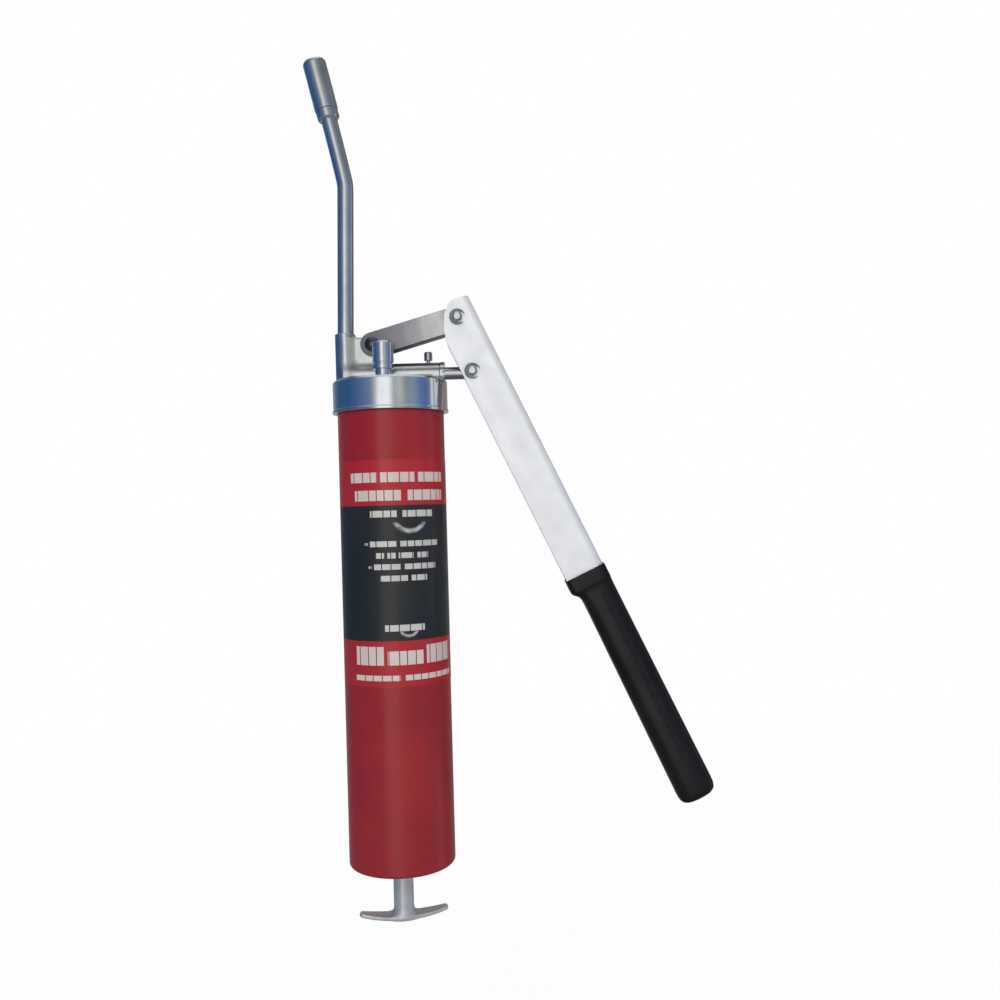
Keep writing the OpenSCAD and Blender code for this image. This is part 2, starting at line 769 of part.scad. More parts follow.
// Headed pin: head on the far side, groove for a clip on the near side
module lever_pin() {
    far = channel_w / 2;
    difference() {
        union() {
            across(pin_r, -far - 2, far + 0.2);
            across(4.1, far + 0.05, far + 1.6);
            translate([0, -far - 1.9, 0]) rotate([90, 0, 0]) cylinder(r1 = pin_r, r2 = pin_r - 0.8, h = 0.7);
        }
        translate([0, -far - 0.35, 0]) rotate([90, 0, 0]) ring(pin_r + overlap, pin_groove_r, 0.8);
    }
}

module upper_lever_pin() {
    color("silver") at_lever() at_upper_pin() lever_pin();
}

module lower_lever_pin() {
    color("silver") at_lever() lever_pin();
}

module lever_pin_clips() {
    color("dimgray") at_lever() for (place = [[0, 0], [upper_out, upper_up]])
        translate([place[0], -channel_w / 2 - 0.75, place[1]]) plate_y(0.7) rotate(-40) clip_outline();
}

barrel_tube();
barrel_end_plate();
rod_guide();
barrel_label();
follower_cup();
follower_plate();
cup_washer();
follower_spring();
follower_rod();
rod_nut();
t_handle();
head_gasket();
head_casting();
gland_nut();
plunger_packing();
outlet_check_spring();
link_pin();
link_pin_clip();
extension_pipe();
coupler_adapter();
coupler_sleeve();
coupler_spring();
filler_body();
filler_spring();
bleeder_spring();
bleeder_ring();
outlet_check_ball();
filler_ball();
bleeder_pin();
coupler_jaws();
coupler_seal();
seal_cup();
plunger_rod();
link();
lever_channel();
lever_grip();
upper_lever_pin();
lower_lever_pin();
lever_pin_clips();
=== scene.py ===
"""Looks for a lever grease gun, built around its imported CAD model.

Lengths in the shape code are millimetres in the CAD frame: +Z runs along the barrel
towards the pipe, +X points at the lever, and the origin is the middle of the barrel.
"""
import json
import math

import bmesh
import bpy
import numpy as np
from mathutils import Matrix, Vector

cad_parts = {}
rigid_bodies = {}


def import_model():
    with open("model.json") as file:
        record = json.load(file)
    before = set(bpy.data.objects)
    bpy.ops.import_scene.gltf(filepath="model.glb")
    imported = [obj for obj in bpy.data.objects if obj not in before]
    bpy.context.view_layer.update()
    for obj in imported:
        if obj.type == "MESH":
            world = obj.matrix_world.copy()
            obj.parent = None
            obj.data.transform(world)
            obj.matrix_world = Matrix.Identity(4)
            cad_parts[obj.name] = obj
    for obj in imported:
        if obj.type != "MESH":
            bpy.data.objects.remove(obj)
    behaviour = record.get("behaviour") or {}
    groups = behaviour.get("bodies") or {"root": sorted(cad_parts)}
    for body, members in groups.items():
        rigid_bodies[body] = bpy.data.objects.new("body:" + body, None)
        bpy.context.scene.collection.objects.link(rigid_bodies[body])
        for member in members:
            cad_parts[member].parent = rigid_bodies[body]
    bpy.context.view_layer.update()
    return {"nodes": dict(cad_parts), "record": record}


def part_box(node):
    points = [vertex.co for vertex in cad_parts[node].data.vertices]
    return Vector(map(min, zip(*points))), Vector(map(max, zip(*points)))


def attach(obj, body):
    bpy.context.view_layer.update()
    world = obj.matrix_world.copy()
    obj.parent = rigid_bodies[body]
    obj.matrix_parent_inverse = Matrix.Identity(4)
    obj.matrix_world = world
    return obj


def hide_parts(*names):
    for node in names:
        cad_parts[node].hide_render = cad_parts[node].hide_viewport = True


for leftover in list(bpy.data.objects):
    bpy.data.objects.remove(leftover, do_unlink=True)
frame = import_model()
MM = 0.001
bpy.context.scene.view_settings.view_transform = "Standard"

# ---------------------------------------------------------------- sizes, from the CAD nodes


def box_mm(node):
    low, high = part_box(node)
    return np.array(low) / MM, np.array(high) / MM


tube_low, tube_high = box_mm("barrel_tube")
head_low, head_high = box_mm("head_casting")
label_low, label_high = box_mm("barrel_label")
handle_low, handle_high = box_mm("t_handle")
rod_low, rod_high = box_mm("follower_rod")
filler_low, filler_high = box_mm("filler_body")
bleeder_low, bleeder_high = box_mm("bleeder_pin")
_, gland_high = box_mm("gland_nut")

BARREL_R = tube_high[0]
BARREL_LOW = tube_low[2]
BARREL_RIM = tube_high[2]
SKIRT_R = head_high[1] - 0.35
SKIRT_Z = head_low[2]
BOSS_TOP = head_high[2]
SKIRT_H, PUMP_UP = 17.5, 3.5
HEAD_TOP = SKIRT_Z + SKIRT_H
PUMP_Z = HEAD_TOP + PUMP_UP
HEAD_PIN = (-8.5, PUMP_Z + 16.0)
LOWER_PIN = (44.8, PUMP_Z)
LEVER_LEAN = math.radians(25.2)

# ---------------------------------------------------------------- mesh tools


def add_object(name, mesh):
    obj = bpy.data.objects.new(name, mesh)
    bpy.context.scene.collection.objects.link(obj)
    return obj


def apply_modifiers(obj):
    """Bakes the object's modifiers into its mesh."""
    graph = bpy.context.evaluated_depsgraph_get()
    baked = bpy.data.meshes.new_from_object(obj.evaluated_get(graph))
    obj.modifiers.clear()
    obj.data = baked
    return obj


def shade(obj, sharp_above=35.0):
    """Smooth shading with creases kept, and flat faces left looking flat."""
    mesh = obj.data
    mesh.polygons.foreach_set("use_smooth", [True] * len(mesh.polygons))
    mesh.set_sharp_from_angle(angle=math.radians(sharp_above))
    weighted = obj.modifiers.new("weighted", "WEIGHTED_NORMAL")
    weighted.keep_sharp = True
    weighted.weight = 90
    return apply_modifiers(obj)


def place(obj, body, slot, material, *nodes):
    """Gives a piece its material and body, and hides the CAD nodes it stands for; the slot argument is not
    used.
    """
    obj.data.materials.clear()
    obj.data.materials.append(material)
    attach(obj, body)
    if nodes:
        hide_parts(*nodes)
    return obj


def rounded(points, steps=5):
    """Outline with its corners rounded: each point is (r, z) or (r, z, radius)."""
    out = []
    count = len(points)
    for i, point in enumerate(points):
        here = Vector(point[:2])
        radius = point[2] if len(point) > 2 else 0.0
        if radius <= 0:
            out.append(tuple(here))
            continue
        back = (Vector(points[i - 1][:2]) - here).normalized()
        ahead = (Vector(points[(i + 1) % count][:2]) - here).normalized()
        half = back.angle(ahead) / 2
        reach = radius / math.tan(half)
        start, end = here + back * reach, here + ahead * reach
        centre = here + (back + ahead).normalized() * (radius / math.sin(half))
        a, b = start - centre, end - centre
        turn = a.angle_signed(b)
        for k in range(steps + 1):
            t = -turn * k / steps
            out.append((centre.x + a.x * math.cos(t) - a.y * math.sin(t),
                        centre.y + a.x * math.sin(t) + a.y * math.cos(t)))
    return out


def lathe(name, outline, segments=128, matrix=Matrix.Identity(4), sharp_above=35.0):
    """Closed outline of (r, z) points turned about Z, then placed by the matrix."""
    bm = bmesh.new()
    rings = []
    for r, z in outline:
        if r < 1e-6:
            rings.append([bm.verts.new((0, 0, z))] * segments)
            continue
        angles = [2 * math.pi * k / segments for k in range(segments)]
        rings.append([bm.verts.new((r * math.cos(a), r * math.sin(a), z)) for a in angles])
    for i, ring in enumerate(rings):
        after = rings[(i + 1) % len(rings)]
        for k in range(segments):
            n = (k + 1) % segments
            corners = []
            for vert in (ring[k], ring[n], after[n], after[k]):
                if vert not in corners:
                    corners.append(vert)
            if len(corners) > 2:
                bm.faces.new(corners)
    bmesh.ops.recalc_face_normals(bm, faces=bm.faces)
    mesh = bpy.data.meshes.new(name)
    bm.to_mesh(mesh)
    bm.free()
    mesh.transform(Matrix.Scale(MM, 4) @ matrix)
    return shade(add_object(name, mesh), sharp_above)


def cad_copy(name, node, bevel, segments=2, sharp_above=35.0, angle=30.0):
    """Copy of a CAD node with its flat faces joined and its edges broken."""
    bm = bmesh.new()
    bm.from_mesh(frame["nodes"][node].data)
    bmesh.ops.remove_doubles(bm, verts=bm.verts, dist=2e-6)
    bmesh.ops.dissolve_limit(bm, angle_limit=math.radians(0.5), verts=bm.verts, edges=bm.edges)
    mesh = bpy.data.meshes.new(name)
    bm.to_mesh(mesh)
    bm.free()
    obj = add_object(name, mesh)
    edges = obj.modifiers.new("edges", "BEVEL")
    edges.width = bevel * MM
    edges.segments = segments
    edges.limit_method = "ANGLE"
    edges.angle_limit = math.radians(angle)
    edges.miter_outer = "MITER_ARC"
    apply_modifiers(obj)
    return shade(obj, sharp_above)


def sweep(name, path, frames, outline_at):
    """Skin over cross-sections: outline_at(i) gives ring i as (across, up) points."""
    verts, faces = [], []
    count = len(outline_at(0))
    for i, centre in enumerate(path):
        side, up = frames[i]
        verts += [tuple((centre + side * a + up * b) * MM) for a, b in outline_at(i)]
    for i in range(len(path) - 1):
        for k in range(count):
            n = (k + 1) % count
            faces.append((i * count + k, i * count + n, (i + 1) * count + n, (i + 1) * count + k))
    faces.append(tuple(range(count - 1, -1, -1)))
    faces.append(tuple((len(path) - 1) * count + k for k in range(count)))
    mesh = bpy.data.meshes.new(name)
    mesh.from_pydata(verts, [], faces)
    bm = bmesh.new()
    bm.from_mesh(mesh)
    bmesh.ops.recalc_face_normals(bm, faces=bm.faces)
    bm.to_mesh(mesh)
    bm.free()
    return add_object(name, mesh)


# ---------------------------------------------------------------- distance-field tools


def field_mesh(name, field, low, high, step):
    """Closed mesh where field(points) is zero. A field is a distance in mm, below zero inside."""
    low = np.array(low, float)
    size = np.ceil((np.array(high, float) - low) / step).astype(int) + 1
    axes = [low[i] + step * np.arange(size[i]) for i in range(3)]
    grid = np.stack(np.meshgrid(*axes, indexing="ij"), -1)
    value = np.concatenate([field(slab.reshape(-1, 3)).reshape(slab.shape[:2])[None]
                            for slab in grid])
    inside = value < 0
    corners = np.array([(i, j, k) for i in (0, 1) for j in (0, 1) for k in (0, 1)])

    def corner_view(array, c):
        return array[c[0]:size[0] - 1 + c[0], c[1]:size[1] - 1 + c[1], c[2]:size[2] - 1 + c[2]]

    total = sum(corner_view(inside, c).astype(int) for c in corners)
    cells = np.argwhere((total > 0) & (total < 8))
    number = -np.ones(size - 1, int)
    number[tuple(cells.T)] = np.arange(len(cells))
    where, hits = np.zeros((len(cells), 3)), np.zeros(len(cells))
    for a in corners:
        for d in range(3):
            if a[d]:
                continue
            b = a + np.eye(3, dtype=int)[d]
            va, vb = value[tuple((cells + a).T)], value[tuple((cells + b).T)]
            cut = (va < 0) != (vb < 0)
            share = np.where(cut, va / np.where(cut, va - vb, 1), 0)
            where += np.where(cut[:, None], cells + a + share[:, None] * (b - a), 0)
            hits += cut
    points = low + step * where / hits[:, None]
    quads = []
    for d in range(3):
        u, v = [(1, 2), (2, 0), (0, 1)][d]
        unit = np.eye(3, dtype=int)
        first = np.argwhere(np.diff(inside.astype(int), axis=d) != 0)
        first = first[(first[:, u] > 0) & (first[:, v] > 0)]
        first = first[(first[:, u] < size[u] - 1) & (first[:, v] < size[v] - 1)]
        ring = [first - unit[u] - unit[v], first - unit[v], first, first - unit[u]]
        ids = np.stack([number[tuple(r.T)] for r in ring], 1)
        outward = inside[tuple(first.T)]
        quads.append(np.where(outward[:, None], ids, ids[:, ::-1]))
    for _ in range(4):
        here = field(points)
        slope = np.stack([(field(points + 0.02 * e) - field(points - 0.02 * e)) / 0.04
                          for e in np.eye(3)], 1)
        steep = np.maximum((slope ** 2).sum(1, keepdims=True), 0.2)
        points = points - np.clip(here[:, None] * slope / steep, -step, step)
    mesh = bpy.data.meshes.new(name)
    mesh.from_pydata((points * MM).tolist(), [], np.concatenate(quads).tolist())
    mesh.polygons.foreach_set("use_smooth", [True] * len(mesh.polygons))
    mesh.update()
    return add_object(name, mesh)


def blend(a, b, k):
    """Union of two fields with a fillet of about k."""
    h = np.clip(0.5 + 0.5 * (b - a) / k, 0, 1)
    return b + (a - b) * h - k * h * (1 - h)


def bar(p, start, end, radius, edge=0.3):
    """Round bar between two points, with its end edges rounded."""
    start, end = np.array(start, float), np.array(end, float)
    axis = end - start
    length = np.linalg.norm(axis)
    axis /= length
    along = (p - start) @ axis
    off = np.linalg.norm(p - start - along[:, None] * axis, axis=1)
    a = off - (radius - edge)
    b = np.abs(along - length / 2) - (length / 2 - edge)
    return np.minimum(np.maximum(a, b), 0) + np.hypot(np.maximum(a, 0), np.maximum(b, 0)) - edge


def block(p, centre, half, edge=0.3):
    """Rounded box with its sides along the axes."""
    q = np.abs(p - np.array(centre, float)) - (np.array(half, float) - edge)
    return np.minimum(q.max(1), 0) + np.linalg.norm(np.maximum(q, 0), axis=1) - edge


def outline_field(p, points, edge=0.0):
    """Distance to a closed outline in X and Z."""
    best = np.full(len(p), 1e9)
    sign = np.ones(len(p))
    n = len(points)
    for i in range(n):
        a, b = np.array(points[i], float), np.array(points[i - 1], float)
        e, w = b - a, p[:, [0, 2]] - a
        t = np.clip((w @ e) / (e @ e), 0, 1)
        best = np.minimum(best, ((w - t[:, None] * e) ** 2).sum(1))
        above, below = p[:, 2] >= a[1], p[:, 2] < b[1]
        left = e[0] * w[:, 1] > e[1] * w[:, 0]
        flip = (above & below & left) | (~above & ~below & ~left)
        sign = np.where(flip, -sign, sign)
    return sign * np.sqrt(best) - edge


def plate(p, points, half, edge=0.3):
    """Outline in X and Z made a slab of half-thickness half about the middle plane."""
    a = outline_field(p, points) + edge
    b = np.abs(p[:, 1]) - (half - edge)
    return np.minimum(np.maximum(a, b), 0) + np.hypot(np.maximum(a, 0), np.maximum(b, 0)) - edge


# ---------------------------------------------------------------- material tools


def fill_ramp(ramp, stops):
    """Gives a colour ramp its stops, in rising order: each is (place, level or colour)."""
    elements = ramp.elements
    elements[0].position, elements[1].position = stops[0][0], stops[-1][0]
    for at, _ in stops[1:-1]:
        elements.new(at)
    for element, (_, level) in zip(elements, stops):
        element.color = (*level, 1) if isinstance(level, tuple) else (level, level, level, 1)


LABEL_R = 28.6
ROW_H, ROW_SHIFT, ROW_STEP = 11.75, 0.1, 37.7
DASHES_PER_MM = 0.2


class Look:
    """A small helper that wires one procedural material."""

    def __init__(self, name, colour, metallic=0.0, roughness=0.4, **sockets):
        self.material = bpy.data.materials.new(name)
        self.material.use_nodes = True
        self.tree = self.material.node_tree
        self.shader = self.tree.nodes["Principled BSDF"]
        self.shader.inputs["Base Color"].default_value = (*colour, 1)
        self.shader.inputs["Metallic"].default_value = metallic
        self.shader.inputs["Roughness"].default_value = roughness
        for socket, value in sockets.items():
            self.shader.inputs[socket.replace("_", " ")].default_value = value
        self.place = self.tree.nodes.new("ShaderNodeTexCoord").outputs["Object"]
        self.normal = None

    def node(self, kind, **settings):
        made = self.tree.nodes.new(kind)
        for key, value in settings.items():
            setattr(made, key, value)
        return made

    def link(self, a, b):
        self.tree.links.new(a, b)

    def noise(self, scale, detail=3.0, stretch=(1, 1, 1), turn=(0, 0, 0), roughness=0.55):
        """Noise with features of about 1/scale metres, stretched along the turned axes."""
        mapping = self.node("ShaderNodeMapping", vector_type="TEXTURE")
        mapping.inputs["Scale"].default_value = stretch
        mapping.inputs["Rotation"].default_value = turn
        self.link(self.place, mapping.inputs["Vector"])
        made = self.node("ShaderNodeTexNoise")
        made.inputs["Scale"].default_value = scale
        made.inputs["Detail"].default_value = detail
        made.inputs["Roughness"].default_value = roughness
        self.link(mapping.outputs["Vector"], made.inputs["Vector"])
        return made.outputs["Fac"]

    def math(self, operation, *values):
        made = self.node("ShaderNodeMath", operation=operation)
        for socket, value in zip(made.inputs, values):
            if isinstance(value, bpy.types.NodeSocket):
                self.link(value, socket)
            else:
                socket.default_value = value
        return made.outputs[0]

    def axes(self):
        """The object's own X, Y and Z, in metres."""
        split = self.node("ShaderNodeSeparateXYZ")
        self.link(self.place, split.inputs[0])
        return split.outputs

    def unrolled(self):
        """Length around the barrel from its front, and height, both in millimetres."""
        x, y, z = self.axes()
        turn = self.math("ARCTAN2", x, self.math("MULTIPLY", y, -1.0))
        return self.math("MULTIPLY", turn, LABEL_R), self.math("MULTIPLY", z, 1 / MM)

    def ramp(self, value, *stops):
        """Value through a ramp whose stops are (place, level or colour)."""
        made = self.node("ShaderNodeValToRGB")
        fill_ramp(made.color_ramp, stops)
        self.link(value, made.inputs["Fac"])
        return made.outputs["Color"]

    def mix(self, factor, a, b, mode="MIX"):
        made = self.node("ShaderNodeMix", data_type="RGBA", blend_type=mode)
        for socket, value in ((made.inputs[0], factor), (made.inputs[6], a), (made.inputs[7], b)):
            if isinstance(value, bpy.types.NodeSocket):
                self.link(value, socket)
            elif socket == made.inputs[0]:
                socket.default_value = value
            else:
                socket.default_value = (*value, 1)
        return made.outputs[2]

    def colour(self, value):
        self.link(value, self.shader.inputs["Base Color"])
        return self

    def rough(self, value):
        self.link(value, self.shader.inputs["Roughness"])
        return self

    def bump(self, height, depth_mm, strength=1.0):
        """Adds a bump of that depth to those already there."""
        made = self.node("ShaderNodeBump")
        made.inputs["Distance"].default_value = depth_mm * MM
        made.inputs["Strength"].default_value = strength
        self.link(height, made.inputs["Height"])
        if self.normal is not None:
            self.link(self.normal, made.inputs["Normal"])
        self.normal = made.outputs["Normal"]
        self.link(self.normal, self.shader.inputs["Normal"])
        return self


def plated(name, dark, light, low, high, wave=0.0, grain=0.0,
           stretch=(1, 1, 1), turn=(0, 0, 0), metallic=1.0):
    """Bare or plated metal: cloudy tone, smudges in the gloss, waviness and fine grain."""
    look = Look(name, light, metallic=metallic)
    cloud = look.noise(90, 4)
    look.colour(look.ramp(cloud, (0.3, dark), (0.62, light)))
    smudge = look.noise(160, 5, stretch, turn)
    look.rough(look.ramp(smudge, (0.32, low), (0.72, high)))
    if wave:
        look.bump(look.noise(140, 1.5), wave)
    if grain:
        look.bump(look.noise(2600, 3, stretch, turn), grain)
    return look.material


LENGTHWISE = (1, 1, 40)
red_paint = Look("red_paint", (0.27, 0.008, 0.014), roughness=0.32, Coat_Weight=0.15, Coat_Roughness=0.12)
_cloud = red_paint.noise(28, 5)
_specks = red_paint.ramp(red_paint.noise(900, 2), (0.72, 0.0), (0.78, 0.35))
_tone = red_paint.ramp(_cloud, (0.3, (0.24, 0.007, 0.012)), (0.7, (0.31, 0.010, 0.016)))
red_paint.colour(red_paint.mix(_specks, _tone, (0.46, 0.10, 0.10)))
red_paint.rough(red_paint.ramp(red_paint.noise(60, 5, LENGTHWISE), (0.3, 0.24), (0.7, 0.4)))
red_paint.bump(red_paint.noise(420, 2), 0.03, 0.5)


def blocks(look):
    """Rows of plain dashes of uneven width around the barrel, with a new pattern in each band of height."""
    around, up = look.unrolled()
    band = look.math("FLOOR", look.math("DIVIDE", look.math("ADD", up, ROW_SHIFT), ROW_H))
    row = look.math("MULTIPLY", band, ROW_STEP)
    cells = look.node("ShaderNodeTexVoronoi", voronoi_dimensions="1D", feature="DISTANCE_TO_EDGE")
    cells.inputs["Scale"].default_value = DASHES_PER_MM
    look.link(look.math("ADD", around, row), cells.inputs["W"])
    return look.ramp(cells.outputs["Distance"], (0.04, 0.0), (0.07, 0.8))


def scuff(look, at, radius, width):
    """A curved rub mark: part of a ring in the unrolled label, broken up by noise."""
    around, up = look.unrolled()
    off = look.math("SUBTRACT", around, at[0]), look.math("SUBTRACT", up, at[1])
    out = look.math("POWER", look.math("ADD", look.math("MULTIPLY", off[0], off[0]),
                                       look.math("MULTIPLY", off[1], off[1])), 0.5)
    near = look.math("ABSOLUTE", look.math("SUBTRACT", out, radius))
    band = look.ramp(look.math("DIVIDE", near, width), (0.3, 1.0), (1.0, 0.0))
    below = look.ramp(look.math("DIVIDE", off[1], -radius), (0.45, 0.0), (0.62, 1.0))
    broken = look.ramp(look.noise(260, 5), (0.34, 0.15), (0.52, 1.0))
    return look.math("MULTIPLY", look.math("MULTIPLY", band, below), broken)


def print_look(name, colour, worn, ground=None, scuffs=()):
    """Printed film: ink with rubbed streaks and worn spots; if asked, dashes on a ground and rub marks."""
    look = Look(name, colour, roughness=0.36, Coat_Weight=0.2, Coat_Roughness=0.2)
    rubbed = look.ramp(look.noise(55, 6, (1, 1, 5)), (0.5, 0.0), (0.78, 0.5))
    spots = look.ramp(look.noise(420, 4), (0.68, 0.0), (0.75, 0.7))
    soft = look.mix(rubbed, colour, worn)
    tone = look.mix(spots, soft, worn)
    if ground:
        tone = look.mix(blocks(look), ground, tone)
    for at, radius, width in scuffs:
        tone = look.mix(scuff(look, at, radius, width), tone, (0.40, 0.41, 0.41))
    look.colour(tone)
    look.rough(look.ramp(look.noise(120, 4), (0.3, 0.3), (0.7, 0.46)))
    look.bump(look.noise(900, 2), 0.01, 0.5)
    return look.material


RED_INK, BLACK_INK = (0.35, 0.008, 0.014), (0.014, 0.016, 0.016)
PALE_INK, PALE_WORN = (0.62, 0.60, 0.57), (0.36, 0.30, 0.29)
# Rub marks: (around, up) of the ring's centre, its radius and the mark's width, in mm
SCUFFS = [((11.5, 66.0), 9.0, 1.5), ((9.5, 8.0), 5.0, 1.0)]
label_red = print_look("label_red", RED_INK, (0.40, 0.03, 0.04))
label_black = print_look("label_black", BLACK_INK, (0.032, 0.034, 0.035), scuffs=SCUFFS)
label_on_red = print_look("label_on_red", PALE_INK, PALE_WORN, RED_INK)
label_on_black = print_look("label_on_black", PALE_INK, PALE_WORN, BLACK_INK, SCUFFS)

chrome = plated("chrome_plate", (0.74, 0.76, 0.79), (0.86, 0.88, 0.90), 0.07, 0.2, wave=0.03, grain=0.003)
pipe_chrome = plated("pipe_chrome", (0.72, 0.74, 0.76), (0.84, 0.86, 0.87), 0.2, 0.32, grain=0.003,
                     stretch=(1, 1, 30))
ring_chrome = plated("ring_chrome", (0.78, 0.80, 0.83), (0.88, 0.90, 0.92), 0.06, 0.16, grain=0.002,
                     stretch=(30, 30, 1))
cast_chrome = plated("cast_chrome", (0.66, 0.67, 0.66), (0.80, 0.81, 0.80), 0.14, 0.34, wave=0.1, grain=0.006)
cast_zinc = plated("cast_zinc", (0.60, 0.61, 0.63), (0.76, 0.77, 0.79), 0.3, 0.48, wave=0.1, grain=0.01,
                   metallic=0.7)
zinc_plate = plated("zinc_plate", (0.66, 0.66, 0.66), (0.80, 0.80, 0.80), 0.22, 0.4, wave=0.03, grain=0.006)
bright_steel = plated("bright_steel", (0.62, 0.63, 0.65), (0.78, 0.79, 0.81), 0.12, 0.28, grain=0.004,
                      stretch=(40, 1, 1))
rod_steel = plated("rod_steel", (0.62, 0.63, 0.65), (0.78, 0.79, 0.81), 0.12, 0.28, grain=0.004,
                   stretch=(1, 1, 40))
hard_steel = plated("hard_steel", (0.16, 0.16, 0.17), (0.28, 0.28, 0.30), 0.25, 0.45, grain=0.006)
spring_steel = plated("spring_steel", (0.30, 0.30, 0.31), (0.46, 0.46, 0.48), 0.25, 0.45, grain=0.006)
clip_steel = plated("clip_steel", (0.10, 0.11, 0.13), (0.22, 0.23, 0.26), 0.16, 0.34, grain=0.004)
LINK_OUT, LINK_UP = 46.0, 13.0
link_turn = (0, -math.atan2(LINK_UP, LINK_OUT), 0)
pewter = Look("pewter_steel", (0.4, 0.4, 0.4), metallic=0.75)
# Painted reflection: the link's base colour runs from dark at its rear (-X) to light warm grey at its front
# (+X), standing in for reflected light rather than a tone of the metal
_along = pewter.math("MULTIPLY_ADD", pewter.axes()[0], 22.0, 0.25)
_tone = pewter.ramp(_along, (0.05, (0.17, 0.17, 0.19)), (0.45, (0.38, 0.37, 0.39)),
                    (0.95, (0.86, 0.85, 0.84)))
_cloud = pewter.ramp(pewter.noise(90, 4), (0.35, 0.0), (0.65, 0.3))
pewter.colour(pewter.mix(_cloud, _tone, (0.22, 0.21, 0.22)))
pewter.rough(pewter.ramp(pewter.noise(160, 5, (1, 1, 30), link_turn), (0.32, 0.3), (0.72, 0.5)))
pewter.bump(pewter.noise(140, 1.5), 0.04)
pewter.bump(pewter.noise(2600, 3, (1, 1, 30), link_turn), 0.012)
lever_steel = plated("lever_steel", (0.80, 0.80, 0.82), (0.88, 0.88, 0.90), 0.3, 0.48, wave=0.02,
                     grain=0.012, stretch=(1, 1, 60), turn=(0, -LEVER_LEAN, 0), metallic=0.42)

grip_look = Look("black_grip", (0.006, 0.006, 0.007), roughness=0.25, Specular_IOR_Level=0.32)
_dust = grip_look.ramp(grip_look.noise(700, 4), (0.66, 0.0), (0.76, 0.5))
_tone = grip_look.ramp(grip_look.noise(60, 4), (0.3, (0.004, 0.004, 0.005)), (0.7, (0.009, 0.009, 0.010)))
grip_look.colour(grip_look.mix(_dust, _tone, (0.03, 0.03, 0.032)))
grip_look.rough(grip_look.ramp(grip_look.noise(70, 5), (0.3, 0.16), (0.72, 0.34)))
grip_look.bump(grip_look.noise(1500, 3), 0.012, 0.6)
grip_look.bump(grip_look.noise(45, 2), 0.2, 0.4)

rubber_look = Look("black_rubber", (0.02, 0.02, 0.02), roughness=0.7)
rubber_look.colour(rubber_look.ramp(rubber_look.noise(300, 4), (0.3, (0.012, 0.012, 0.012)),
                                    (0.7, (0.035, 0.034, 0.033))))
rubber_look.rough(rubber_look.ramp(rubber_look.noise(200, 4), (0.3, 0.55), (0.7, 0.8)))
rubber_look.bump(rubber_look.noise(1200, 3), 0.03, 0.5)

SLOT_LOOKS = {
    "red_paint": red_paint.material, "label_print": label_black, "chrome_plate": chrome,
    "cast_chrome": cast_chrome, "cast_zinc": cast_zinc, "zinc_plate": zinc_plate,
    "bright_steel": bright_steel, "hard_steel": hard_steel, "pewter_steel": pewter.material,
    "lever_steel": lever_steel, "spring_steel": spring_steel, "black_grip": grip_look.material,
    "black_rubber": rubber_look.material,
}
for subpart in frame["record"]["subparts"]:
    mesh = frame["nodes"][subpart["node"]].data
    mesh.materials.clear()
    mesh.materials.append(SLOT_LOOKS[subpart["material_slot"]])

# ---------------------------------------------------------------- barrel

WALL = 1.2
EDGE_R = 2.2
wall_top = SKIRT_Z - 0.2
thread_r = BARREL_R - 0.3
barrel_outline = [(BARREL_R - WALL, BARREL_RIM), (BARREL_R - WALL, BARREL_LOW + EDGE_R, 1.0),
                  (BARREL_R - EDGE_R - 1.4, BARREL_LOW + WALL), (BARREL_R - EDGE_R - 1.4, BARREL_LOW, 0.4),
                  (BARREL_R, BARREL_LOW, EDGE_R), (BARREL_R, wall_top, 0.15), (thread_r, wall_top)]
for turn in range(4):
    groove = wall_top + 3.2 + 2 * turn
    barrel_outline += [(thread_r, groove), (thread_r - 0.35, groove + 0.3), (thread_r - 0.35, groove + 0.6),
                       (thread_r, groove + 0.9)]
barrel_outline.append((thread_r, BARREL_RIM))
barrel = lathe("barrel", rounded(barrel_outline, 8), 192)
place(barrel, "barrel", "red_paint", red_paint.material, "barrel_tube")

plate_r = BARREL_R - 2.2
plate_z = BARREL_LOW + WALL
bush_r = 4.8
end_plate = lathe("barrel_base", rounded([
    (bush_r, plate_z + 1.6), (bush_r, plate_z - 0.6, 0.15), (plate_r - 4, plate_z - 0.6, 0.5),
    (plate_r - 3.4, plate_z, 0.4), (plate_r, plate_z), (plate_r, plate_z + 1.6)]), 128)
place(end_plate, "barrel", "red_paint", red_paint.material, "barrel_end_plate")

# ---------------------------------------------------------------- label

LABEL_FROM, LABEL_TO = -72.0, 92.0
SKIN_OUT, SKIN_IN = 0.15, 0.02
LABEL_LOW, LABEL_HIGH = label_low[2], label_high[2]
BLACK_LOW, BLACK_HIGH = 0.6, 70.4
# Rows of plain dashes stand for the printed lines: (from, to) in degrees from the front, (low, high) in mm
PRINT_LINES = [
    ((-43, -10), (82.3, 87.4)), ((-7, 30), (82.3, 87.4)), ((33, 69.5), (82.3, 87.4)),
    ((-37.5, 14), (72.8, 78.2)), ((21, 68), (72.8, 78.2)),
    ((-19, 10), (64.3, 67.7)), ((15, 50), (64.3, 67.7)),
    ((-26, -22.5), (49.9, 51.2)), ((-20, 8), (49.1, 52.0)), ((12, 57), (49.1, 52.0)),
    ((-13.5, -5), (43.1, 46.0)), ((-1.5, 7), (43.1, 46.0)),
    ((10, 26), (43.1, 46.0)), ((30, 43), (43.1, 46.0)),
    ((-22, -18.5), (38.0, 39.3)), ((-16, 12), (37.3, 40.2)), ((16, 53), (37.3, 40.2)),
    ((-10, 19), (31.4, 34.3)), ((23, 41), (31.4, 34.3)),
    ((-6, 36.5), (5.6, 8.9)),
    ((-41, -8), (-11.8, -2.2)), ((-4, 34), (-11.8, -4.6)), ((38, 76), (-11.8, -2.2)),
    ((-42, 9), (-19.8, -17.0)), ((14, 78), (-19.8, -17.0)),
]


